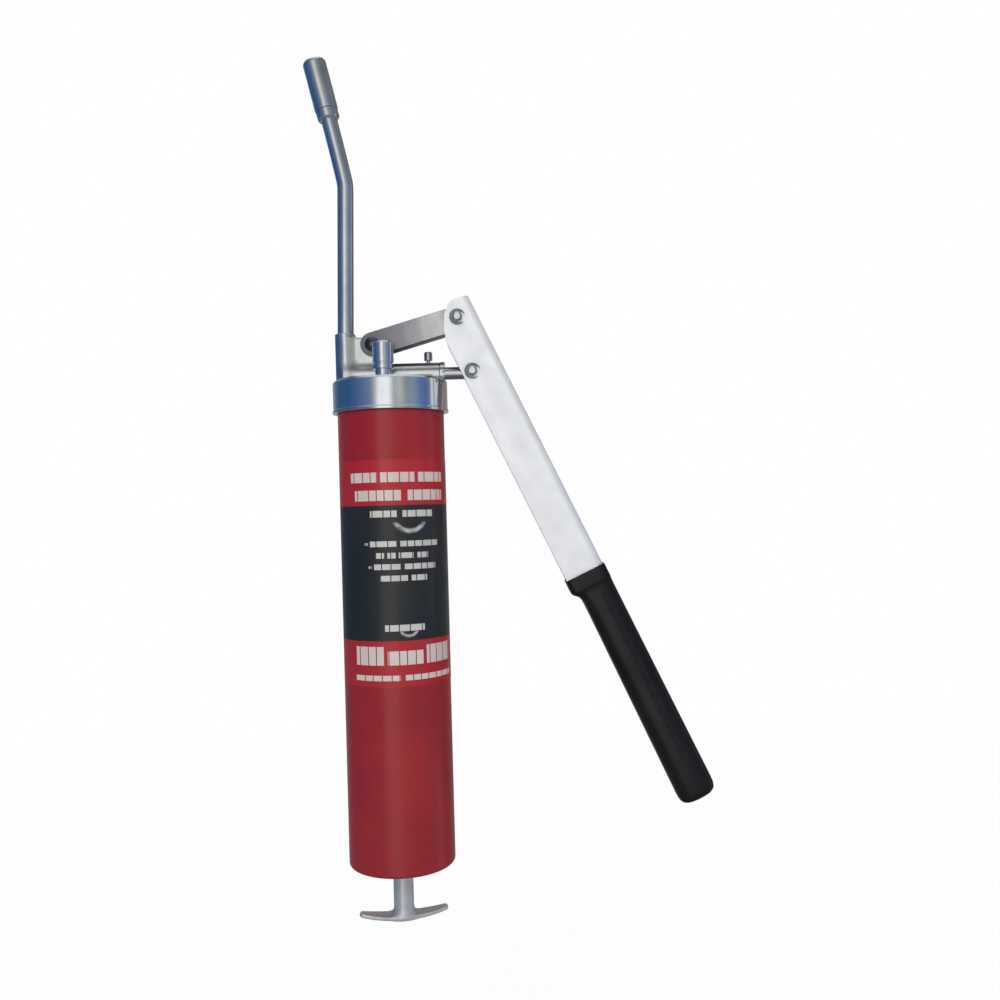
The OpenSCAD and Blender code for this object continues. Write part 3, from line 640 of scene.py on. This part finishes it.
def label_mesh():
    """Thin printed skin: every printed bar is its own set of faces, with its own ink."""
    turns = sorted({LABEL_FROM, LABEL_TO, *np.arange(LABEL_FROM, LABEL_TO, 3.0),
                    *(t for line in PRINT_LINES for t in line[0])})
    levels = sorted({LABEL_LOW, LABEL_HIGH, BLACK_LOW, BLACK_HIGH,
                     *(z for line in PRINT_LINES for z in line[1])})
    bm = bmesh.new()

    def vert(r, turn, z):
        a = math.radians(turn)
        return bm.verts.new((r * math.sin(a) * MM, -r * math.cos(a) * MM, z * MM))

    outer = [[vert(BARREL_R + SKIN_OUT, t, z) for z in levels] for t in turns]
    inner = [[vert(BARREL_R + SKIN_IN, t, z) for z in levels] for t in turns]
    last_t, last_z = len(turns) - 1, len(levels) - 1
    for i in range(last_t):
        for j in range(last_z):
            t, z = (turns[i] + turns[i + 1]) / 2, (levels[j] + levels[j + 1]) / 2
            ink = 1 if BLACK_LOW < z < BLACK_HIGH else 0
            if any(a < t < b and c < z < d for (a, b), (c, d) in PRINT_LINES):
                ink += 2
            front = bm.faces.new((outer[i][j], outer[i + 1][j], outer[i + 1][j + 1], outer[i][j + 1]))
            rear = bm.faces.new((inner[i][j], inner[i][j + 1], inner[i + 1][j + 1], inner[i + 1][j]))
            front.material_index = rear.material_index = ink
    for i in range(last_t):
        for j, flip in ((0, False), (last_z, True)):
            quad = (inner[i][j], inner[i + 1][j], outer[i + 1][j], outer[i][j])
            bm.faces.new(quad[::-1] if flip else quad)
    for j in range(last_z):
        for i, flip in ((0, True), (last_t, False)):
            quad = (inner[i][j], inner[i][j + 1], outer[i][j + 1], outer[i][j])
            bm.faces.new(quad[::-1] if flip else quad)
    bmesh.ops.recalc_face_normals(bm, faces=bm.faces)
    mesh = bpy.data.meshes.new("label")
    bm.to_mesh(mesh)
    bm.free()
    return mesh


label = shade(add_object("label", label_mesh()))
inks = [polygon.material_index for polygon in label.data.polygons]
place(label, "barrel", "label_print", label_red, "barrel_label")
for ink in (label_black, label_on_red, label_on_black):
    label.data.materials.append(ink)
label.data.polygons.foreach_set("material_index", inks)

# ---------------------------------------------------------------- head

HEAD_PLATE_T = 3.4
skirt = lathe("head_ring", rounded([
    (BARREL_R + 0.3, SKIRT_Z, 0.2), (SKIRT_R + 0.35, SKIRT_Z, 0.35), (SKIRT_R + 0.35, SKIRT_Z + 1.4, 0.35),
    (SKIRT_R, SKIRT_Z + 1.9, 0.3), (SKIRT_R, HEAD_TOP - 1.2, 0.35), (SKIRT_R - 1.2, HEAD_TOP, 0.35),
    (0, HEAD_TOP), (0, HEAD_TOP - HEAD_PLATE_T), (BARREL_R + 0.3, HEAD_TOP - HEAD_PLATE_T, 0.5)]), 256)
place(skirt, "head", "cast_chrome", ring_chrome, "head_casting")

BOSS_X, BOSS_R, PUMP_R = -23.6, 5.5, 6.0
PAD_R = 27.4
filler_mid = (filler_low + filler_high) / 2
bleeder_mid = (bleeder_low + bleeder_high) / 2
lug_outline = [
    (BOSS_X, BOSS_TOP - 2.0), (BOSS_X + BOSS_R + 2.2, BOSS_TOP - 2.4), (HEAD_PIN[0] - 1.5, HEAD_PIN[1] + 4.1),
    (HEAD_PIN[0] + 1.8, HEAD_PIN[1] + 3.9), (HEAD_PIN[0] + 4.2, HEAD_PIN[1] + 1.4),
    (HEAD_PIN[0] + 4.5, HEAD_PIN[1] - 0.8), (HEAD_PIN[0] + 6.0, PUMP_Z), (BOSS_X, PUMP_Z),
]


def head_field(p):
    pad = bar(p, (0, 0, HEAD_TOP - 1.5), (0, 0, HEAD_TOP + 0.35), PAD_R, 0.3)
    pump = bar(p, (BOSS_X - 1, 0, PUMP_Z), (gland_high[0] - 2.25, 0, PUMP_Z), PUMP_R, 0.4)
    boss = bar(p, (BOSS_X, 0, HEAD_TOP - 1), (BOSS_X, 0, BOSS_TOP), BOSS_R, 0.5)
    lug = plate(p, lug_outline, 4.2, 0.7)
    cheeks = block(p, (0.5, 0, HEAD_TOP), (21.5, PUMP_R + 0.6, 1.4), 0.5)
    filler_pad = bar(p, (filler_mid[0], filler_mid[1], HEAD_TOP - 1),
                     (filler_mid[0], filler_mid[1], HEAD_TOP + 1.3), 6.7, 0.4)
    bleeder_pad = bar(p, (bleeder_mid[0], bleeder_mid[1], HEAD_TOP - 1),
                      (bleeder_mid[0], bleeder_mid[1], HEAD_TOP + 7.6), 2.6, 0.4)
    shape = blend(pump, boss, 3.2)
    shape = blend(shape, lug, 2.2)
    shape = blend(shape, cheeks, 1.8)
    shape = blend(shape, pad, 2.6)
    shape = blend(shape, filler_pad, 1.2)
    shape = blend(shape, bleeder_pad, 1.4)
    bore = bar(p, (BOSS_X + 3, 0, PUMP_Z), (60, 0, PUMP_Z), 3.5, 0.1)
    stem_hole = bar(p, (bleeder_mid[0], bleeder_mid[1], HEAD_TOP - 4),
                    (bleeder_mid[0], bleeder_mid[1], HEAD_TOP + 9), 1.3, 0.05)
    return np.maximum(np.maximum(shape, -bore), -stem_hole)


head_top = field_mesh("head_body", head_field, (-31, -29, HEAD_TOP - 2.5), (30, 29, BOSS_TOP + 1.5), 0.42)
place(head_top, "head", "cast_chrome", cast_chrome)

gland = cad_copy("gland", "gland_nut", 0.25)
place(gland, "head", "bright_steel", chrome, "gland_nut")

FILLER_R = 5.6
filler = lathe("filler", rounded([
    (0, HEAD_TOP - 1.0), (4.3, HEAD_TOP - 1.0), (4.3, HEAD_TOP + 4.8), (FILLER_R, HEAD_TOP + 5.0, 0.3),
    (FILLER_R, HEAD_TOP + 7.2, 0.2), (FILLER_R - 0.5, HEAD_TOP + 7.5), (FILLER_R - 0.5, HEAD_TOP + 8.3),
    (FILLER_R, HEAD_TOP + 8.6, 0.2), (FILLER_R, filler_high[2] - 1.0, 0.4),
    (FILLER_R - 1.0, filler_high[2], 0.3), (3.0, filler_high[2], 0.25), (3.0, filler_high[2] - 4.0),
    (2.0, filler_high[2] - 4.0, 0.15), (2.0, filler_high[2] - 5.2), (0, filler_high[2] - 6.4)]),
    96, Matrix.Translation((filler_mid[0], filler_mid[1], 0)))
place(filler, "head", "chrome_plate", chrome, "filler_body")

STEM_R, CAP_R, CAP_H = 1.05, 2.25, 4.9
bleeder = lathe("bleeder", rounded([
    (0, bleeder_low[2]), (STEM_R, bleeder_low[2]), (STEM_R, bleeder_high[2] - CAP_H),
    (CAP_R, bleeder_high[2] - CAP_H, 0.3), (CAP_R, bleeder_high[2] - 0.6, 0.5),
    (1.6, bleeder_high[2], 0.3), (0, bleeder_high[2])]),
    48, Matrix.Translation((bleeder_mid[0], bleeder_mid[1], 0)))
place(bleeder, "bleeder", "zinc_plate", zinc_plate, "bleeder_pin")

# ---------------------------------------------------------------- pipe and coupler

PIPE_R = 4.35
PIPE_LEAN = math.radians(1.4)
RUN, BEND_R, BEND = 78.0, 25.0, math.radians(13.2)
TIP_RUN, TIP_TURN = 33.0, math.radians(1.5)
COUPLER_H, COUPLER_R = 33.0, 6.3


def pipe_line():
    """Points along the pipe and their directions, from inside the boss to inside the coupler."""
    points, headings = [], []
    at, angle = Vector((-23.3, 0, BOSS_TOP)), PIPE_LEAN

    def heading(a):
        return Vector((math.sin(a), 0, math.cos(a)))

    for s in (-8.0, 0.0, *np.linspace(0, RUN, 28)[1:]):
        points.append(at + heading(angle) * s)
        headings.append(angle)
    at = points[-1]
    for length, turn, steps in ((BEND_R * BEND, BEND, 12), (TIP_RUN, TIP_TURN, 24)):
        radius = length / turn
        start, first = at.copy(), angle
        for k in range(1, steps + 1):
            angle = first - turn * k / steps
            mid = (first + angle) / 2
            chord = 2 * radius * math.sin((first - angle) / 2)
            at = start + heading(mid) * chord
            points.append(at)
            headings.append(angle)
    return points, headings, at, angle


pipe_points, pipe_angles, coupler_base, coupler_angle = pipe_line()
circle = [(math.cos(2 * math.pi * k / 64), math.sin(2 * math.pi * k / 64)) for k in range(64)]
pipe_frames = [(Vector((math.cos(a), 0, -math.sin(a))), Vector((0, 1, 0))) for a in pipe_angles]
pipe_radius = [3.9 if i == 0 else PIPE_R for i in range(len(pipe_points))]
pipe = sweep("pipe", pipe_points, pipe_frames,
             lambda i: [(x * pipe_radius[i], y * pipe_radius[i]) for x, y in circle])
shade(pipe)
place(pipe, "head", "chrome_plate", pipe_chrome, "extension_pipe")

coupler_place = Matrix.Translation(coupler_base) @ Matrix.Rotation(coupler_angle, 4, "Y")
adapter = lathe("coupler_collar", rounded([
    (0, 0.02), (PIPE_R + 0.02, 0.02), (COUPLER_R - 1.0, 0.02, 0.3), (COUPLER_R - 0.35, 1.1, 0.4),
    (COUPLER_R - 0.35, 5.45, 0.25), (4.85, 5.45), (4.85, 12.0), (0, 12.0)]), 96, coupler_place)
place(adapter, "head", "chrome_plate", pipe_chrome, "coupler_adapter")

sleeve_turn = np.array((coupler_place.to_3x3().inverted()))
sleeve_base = np.array(coupler_base)
FLAT_TURN = math.radians(-35)


def sleeve_field(p):
    q = (p - sleeve_base) @ sleeve_turn.T
    off = np.hypot(q[:, 0], q[:, 1])
    shell = bar(q, (0, 0, 5.55), (0, 0, COUPLER_H), COUPLER_R, 0.3)
    nose = (off - COUPLER_R + 0.8 + (q[:, 2] - COUPLER_H) * 0.8 / 1.2) * 0.832
    shell = blend(-shell, -nose, 0.4) * -1
    flats = np.maximum(np.abs(q[:, 0] * math.cos(FLAT_TURN) + q[:, 1] * math.sin(FLAT_TURN)) * -1
                       + COUPLER_R - 0.55, 13.4 - q[:, 2])
    shell = np.maximum(shell, -flats)
    bore = np.maximum(off - 4.9, q[:, 2] - (COUPLER_H - 3.0))
    mouth = off - 3.5 - np.maximum(q[:, 2] - (COUPLER_H - 0.8), 0)
    return np.maximum(np.maximum(shell, -bore), -mouth)


sleeve_low, sleeve_high = box_mm("coupler_sleeve")
sleeve = field_mesh("coupler", sleeve_field, sleeve_low - 0.8, sleeve_high + 0.8, 0.2)
place(sleeve, "head", "chrome_plate", pipe_chrome, "coupler_sleeve")

# ---------------------------------------------------------------- follower rod and handle

ROD_R = 3.5
rod = lathe("pull_rod", rounded([
    (0, rod_low[2]), (ROD_R, rod_low[2]), (ROD_R, rod_high[2], 0.5),
    (0, rod_high[2])]), 64)
place(rod, "rod", "bright_steel", rod_steel, "follower_rod")

HUB_R = 5.4
HUB_TOP, FOOT, SWEEP_R = handle_high[2], handle_low[2], 100.0
HANDLE_TURN = math.radians(10)
HANDLE_HALF, HANDLE_END_R, HANDLE_SIDE_R = 24.4, 2.6, 109.0


def handle_field(p):
    c, s = math.cos(HANDLE_TURN), math.sin(HANDLE_TURN)
    q = np.stack([p[:, 0] * c + p[:, 1] * s, -p[:, 0] * s + p[:, 1] * c, p[:, 2]], 1)
    hub = bar(q, (0, 0, FOOT + 1.5), (0, 0, HUB_TOP), HUB_R, 0.6)
    from_centre = np.hypot(q[:, 0], q[:, 2] - FOOT - SWEEP_R)
    along = np.arcsin(np.clip(q[:, 0] / np.maximum(from_centre, 1), -1, 1)) * SWEEP_R
    deep = np.abs(from_centre - SWEEP_R + 1.3) - 1.3
    side = np.hypot(along, np.abs(q[:, 1]) + HANDLE_SIDE_R - 4.8) - HANDLE_SIDE_R
    tip = HANDLE_HALF - HANDLE_END_R
    end = np.hypot(np.maximum(np.abs(along) - tip, 0), q[:, 1]) - HANDLE_END_R
    plan = np.where(np.abs(along) > tip, end, side)
    edge = 1.0
    a, b = deep + edge, plan + edge
    foot = np.minimum(np.maximum(a, b), 0) + np.hypot(np.maximum(a, 0), np.maximum(b, 0)) - edge
    shape = np.maximum(blend(hub, foot, 4.6), from_centre - SWEEP_R)
    bore = bar(q, (0, 0, HUB_TOP - 11), (0, 0, HUB_TOP + 5), ROD_R, 0.1)
    return np.maximum(shape, -bore)


handle = field_mesh("pull_handle", handle_field, handle_low - 1.2, handle_high + 1.2, 0.33)
place(handle, "rod", "cast_zinc", cast_zinc, "t_handle")

# ---------------------------------------------------------------- linkage and lever

link = cad_copy("toggle_link", "link", 0.25)
place(link, "link", "pewter_steel", pewter.material, "link")

lever = cad_copy("lever_arm", "lever_channel", 0.3)
place(lever, "lever", "lever_steel", lever_steel, "lever_channel")

plunger = cad_copy("plunger", "plunger_rod", 0.3)
place(plunger, "plunger", "bright_steel", bright_steel, "plunger_rod")

for name, node, body, material in (
        ("upper_pin", "upper_lever_pin", "lever", bright_steel),
        ("lower_pin", "lower_lever_pin", "lever", bright_steel),
        ("pin_clips", "lever_pin_clips", "lever", clip_steel),
        ("rear_pin", "link_pin", "head", clip_steel),
        ("rear_clip", "link_pin_clip", "head", clip_steel)):
    piece = cad_copy(name, node, 0.12)
    place(piece, body, "spring_steel" if "clip" in node else "bright_steel", material, node)

GRIP_TOP, GRIP_LENGTH = -123.0, 136.4
CHANNEL_IN, CHANNEL_OUT, CHANNEL_W = -5.4, 16.1, 16.2
SEAM = 0.4
lever_place = (Matrix.Translation((LOWER_PIN[0], 0, LOWER_PIN[1])) @ Matrix.Rotation(-LEVER_LEAN, 4, "Y"))


def grip_mesh():
    """Lofted grip, in the lever's own frame: x out from the barrel, z up the lever."""
    end = GRIP_TOP - GRIP_LENGTH
    lip_low = GRIP_TOP - 8
    # height, inner edge, outer edge, half-width, squareness
    rows = [
        (GRIP_TOP - 4.2, CHANNEL_IN - 0.02, CHANNEL_OUT + 0.02, CHANNEL_W / 2 + 0.02, 12.0),
        (GRIP_TOP - 0.4, CHANNEL_IN - 0.02, CHANNEL_OUT + 0.02, CHANNEL_W / 2 + 0.02, 12.0),
        (GRIP_TOP - 0.05, CHANNEL_IN - 0.25, CHANNEL_OUT + 0.25, CHANNEL_W / 2 + 0.3, 10.0),
        (GRIP_TOP, CHANNEL_IN - 0.5, CHANNEL_OUT + 0.5, CHANNEL_W / 2 + 0.8, 8.0),
        (GRIP_TOP - 0.15, CHANNEL_IN - 0.75, CHANNEL_OUT + 0.75, CHANNEL_W / 2 + 1.2, 7.0),
        (GRIP_TOP - 0.6, CHANNEL_IN - 0.9, CHANNEL_OUT + 0.9, CHANNEL_W / 2 + 1.4, 7.0),
        (lip_low + 1.0, CHANNEL_IN - 0.9, CHANNEL_OUT + 0.9, CHANNEL_W / 2 + 1.4, 6.5),
        (lip_low + 0.2, CHANNEL_IN - 0.8, CHANNEL_OUT + 0.87, CHANNEL_W / 2 + 1.25, 6.0),
        (lip_low - 0.9, CHANNEL_IN - 0.1, CHANNEL_OUT + 0.8, CHANNEL_W / 2 + 0.9, 5.0),
        (lip_low - 2.6, -3.7, CHANNEL_OUT + 0.78, 8.95, 4.0),
        (lip_low - 4.6, -2.75, CHANNEL_OUT + 0.76, 8.95, 3.6),
        (lip_low - 8.0, -2.55, CHANNEL_OUT + 0.75, 8.97, 3.4),
    ]
    body_top, body_low = lip_low - 14.0, end + 12.0
    for t in np.linspace(0, 1, 16):
        z = body_top + (body_low - body_top) * t
        half = 8.98 - 0.15 * math.sin(math.pi * t)
        rows.append((z, -2.6 - 1.5 * t, CHANNEL_OUT + 0.78, half, 2.9 - 0.4 * t))
    rows += [
        (end + 7.0, -4.15, CHANNEL_OUT + 0.76, 8.95, 2.5), (end + 4.4, -4.05, CHANNEL_OUT + 0.6, 8.8, 2.5),
        (end + 2.8, -3.75, CHANNEL_OUT + 0.12, 8.5, 2.5), (end + 1.6, -3.1, CHANNEL_OUT - 0.5, 7.9, 2.5),
        (end + 0.75, -2.0, CHANNEL_OUT - 1.6, 7.0, 2.45), (end + 0.25, -0.4, CHANNEL_OUT - 3.2, 5.7, 2.4),
        (end + 0.04, 2.2, CHANNEL_OUT - 5.8, 3.6, 2.3), (end, 4.6, CHANNEL_OUT - 8.2, 1.4, 2.2),
    ]
    around = 96
    path, frames, outlines = [], [], []
    for z, inner, outer, half, power in rows:
        path.append(Vector(((inner + outer) / 2, 0, z)))
        frames.append((Vector((1, 0, 0)), Vector((0, 1, 0))))
        ring = []
        for k in range(around):
            a = 2 * math.pi * k / around
            c, s = math.cos(a), math.sin(a)
            seam = SEAM if power < 3.5 and k % (around // 2) == around // 4 and z > end + 2 else 0.0
            ring.append((math.copysign(abs(c) ** (2 / power), c) * (outer - inner) / 2,
                         math.copysign(abs(s) ** (2 / power), s) * (half + seam)))
        outlines.append(ring)
    made = sweep("grip", path, frames, lambda i: outlines[i])
    made.data.transform(Matrix.Scale(MM, 4) @ lever_place @ Matrix.Scale(1 / MM, 4))
    return made


grip = grip_mesh()
shade(grip, 50)
place(grip, "lever", "black_grip", grip_look.material, "lever_grip")

# ---------------------------------------------------------------- stage, light and camera

FLOOR_Z = -0.362


def emission_mix(look, factor):
    """Lets a stage material fade to plain white light by the factor."""
    glow = look.node("ShaderNodeEmission")
    glow.inputs["Color"].default_value = (1, 1, 1, 1)
    glow.inputs["Strength"].default_value = 1.0
    both = look.node("ShaderNodeMixShader")
    look.link(factor, both.inputs[0])
    look.link(look.shader.outputs[0], both.inputs[1])
    look.link(glow.outputs[0], both.inputs[2])
    look.link(both.outputs[0], look.tree.nodes["Material Output"].inputs["Surface"])


floor_look = Look("floor", (0.92, 0.92, 0.92), roughness=0.9)
far = floor_look.node("ShaderNodeTexGradient", gradient_type="SPHERICAL")
spread = floor_look.node("ShaderNodeMapping", vector_type="TEXTURE")
spread.inputs["Scale"].default_value = (1.6, 1.6, 1.6)
spread.inputs["Location"].default_value = (0, 0, FLOOR_Z)
floor_look.link(floor_look.place, spread.inputs["Vector"])
floor_look.link(spread.outputs["Vector"], far.inputs["Vector"])
emission_mix(floor_look, floor_look.ramp(far.outputs["Fac"], (0.0, 1.0), (0.8, 0.96)))
bpy.ops.mesh.primitive_circle_add(vertices=96, radius=30, fill_type="NGON", location=(0, 0, FLOOR_Z))
floor = bpy.context.object
floor.name = "floor"
floor.data.materials.append(floor_look.material)
floor.visible_glossy = False

world = bpy.data.worlds.new("studio")
bpy.context.scene.world = world
world.use_nodes = True
sky = world.node_tree
sky.nodes.clear()


def sky_node(kind, **settings):
    made = sky.nodes.new(kind)
    for key, value in settings.items():
        setattr(made, key, value)
    return made


# Studio walls by compass direction, from -180 to 180 degrees, 0 behind the camera and + to the right
WALLS = [
    (-180, (0.42, 0.42, 0.44)), (-150, (0.30, 0.33, 0.36)), (-135, (0.12, 0.18, 0.26)),
    (-118, (0.035, 0.105, 0.22)), (-85, (0.03, 0.10, 0.26)), (-62, (0.06, 0.14, 0.32)),
    (-46, (0.12, 0.19, 0.34)), (-34, (0.19, 0.24, 0.35)), (-26, (0.46, 0.45, 0.52)),
    (-17, (1.10, 1.10, 1.10)), (2, (1.15, 1.15, 1.13)), (13, (0.42, 0.47, 0.48)),
    (24, (0.54, 0.56, 0.55)), (38, (0.30, 0.32, 0.34)), (52, (0.25, 0.32, 0.44)),
    (66, (0.13, 0.22, 0.43)), (80, (0.09, 0.17, 0.38)), (91, (0.16, 0.22, 0.38)),
    (97, (0.85, 0.87, 0.90)), (102, (0.50, 0.50, 0.52)), (110, (0.07, 0.08, 0.11)),
    (122, (0.06, 0.07, 0.10)), (140, (0.20, 0.20, 0.21)), (160, (0.33, 0.31, 0.30)),
    (180, (0.42, 0.42, 0.44)),
]
direction = sky_node("ShaderNodeTexCoord")
split = sky_node("ShaderNodeSeparateXYZ")
sky.links.new(direction.outputs["Generated"], split.inputs[0])
backward = sky_node("ShaderNodeMath", operation="MULTIPLY")
backward.inputs[1].default_value = -1
sky.links.new(split.outputs["Y"], backward.inputs[0])
compass = sky_node("ShaderNodeMath", operation="ARCTAN2")
sky.links.new(split.outputs["X"], compass.inputs[0])
sky.links.new(backward.outputs[0], compass.inputs[1])
share = sky_node("ShaderNodeMapRange")
share.inputs["From Min"].default_value = -math.pi
share.inputs["From Max"].default_value = math.pi
sky.links.new(compass.outputs[0], share.inputs["Value"])
walls = sky_node("ShaderNodeValToRGB")
fill_ramp(walls.color_ramp, [((degrees + 180) / 360, tone) for degrees, tone in WALLS])
sky.links.new(share.outputs[0], walls.inputs["Fac"])
# How far each height is its own tone instead of the walls': z from -1, straight down, to 1, straight up
HEIGHTS = [(-1.0, 1.0), (-0.55, 0.9), (-0.25, 0.1), (0.0, 0.0),
           (0.3, 0.1), (0.62, 0.85), (0.8, 1.0), (1.0, 1.0)]
HEIGHT_TONES = [(-1.0, (0.10, 0.10, 0.11)), (-0.5, (0.22, 0.22, 0.22)), (0.5, (0.20, 0.21, 0.23)),
                (0.75, (0.10, 0.10, 0.12)), (0.88, (0.55, 0.57, 0.62)), (1.0, (0.8, 0.82, 0.88))]
level = sky_node("ShaderNodeMapRange")
level.inputs["From Min"].default_value = -1
sky.links.new(split.outputs["Z"], level.inputs["Value"])
height_share = sky_node("ShaderNodeValToRGB")
fill_ramp(height_share.color_ramp, [((z + 1) / 2, amount) for z, amount in HEIGHTS])
height_tone = sky_node("ShaderNodeValToRGB")
fill_ramp(height_tone.color_ramp, [((z + 1) / 2, tone) for z, tone in HEIGHT_TONES])
for ramp in (height_share, height_tone):
    sky.links.new(level.outputs[0], ramp.inputs["Fac"])
room = sky_node("ShaderNodeMix", data_type="RGBA")
sky.links.new(height_share.outputs[0], room.inputs[0])
sky.links.new(walls.outputs[0], room.inputs[6])
sky.links.new(height_tone.outputs[0], room.inputs[7])
room_light = sky_node("ShaderNodeBackground")
room_light.inputs["Strength"].default_value = 0.85
sky.links.new(room.outputs[2], room_light.inputs["Color"])
plain = sky_node("ShaderNodeBackground")
plain.inputs["Color"].default_value = (1, 1, 1, 1)
plain.inputs["Strength"].default_value = 1.0
path_kind = sky_node("ShaderNodeLightPath")
shown = sky_node("ShaderNodeMixShader")
sky.links.new(path_kind.outputs["Is Camera Ray"], shown.inputs[0])
sky.links.new(room_light.outputs[0], shown.inputs[1])
sky.links.new(plain.outputs[0], shown.inputs[2])
sky.links.new(shown.outputs[0], sky_node("ShaderNodeOutputWorld").inputs["Surface"])


def softbox(name, at, aim, size, power, tint=(1, 1, 1)):
    light = bpy.data.lights.new(name, "AREA")
    light.shape = "RECTANGLE"
    light.size, light.size_y = size
    light.energy = power
    light.color = tint
    lamp = bpy.data.objects.new(name, light)
    bpy.context.scene.collection.objects.link(lamp)
    lamp.location = at
    lamp.visible_glossy = False
    lamp.rotation_euler = (Vector(aim) - Vector(at)).to_track_quat("-Z", "Y").to_euler()
    return lamp


softbox("key", (-0.35, -1.5, 0.55), (0.02, 0, 0.05), (0.5, 1.4), 9)
softbox("top", (0.1, -0.3, 1.5), (0, 0, 0.1), (1.2, 1.0), 6)
softbox("fill", (1.5, -0.9, 0.3), (0, 0, 0.05), (0.5, 1.2), 4)

CAMERA_ROLL = math.radians(1.535)
FOCAL_PX, IMAGE_PX = 1015.0, 1000.0
camera_data = bpy.data.cameras.new("camera")
camera_data.sensor_width = 36
camera_data.lens = FOCAL_PX / IMAGE_PX * camera_data.sensor_width
camera_data.shift_y = 0.008
camera_data.clip_start = 0.01
camera = bpy.data.objects.new("camera", camera_data)
bpy.context.scene.collection.objects.link(camera)
right = Vector((math.cos(CAMERA_ROLL), 0, -math.sin(CAMERA_ROLL)))
upward = Vector((math.sin(CAMERA_ROLL), 0, math.cos(CAMERA_ROLL)))
back = Vector((0, -1, 0))
camera.matrix_world = Matrix((right, upward, back)).transposed().to_4x4()
camera.location = (0.0576, -0.549, 0.0675)
bpy.context.scene.camera = camera
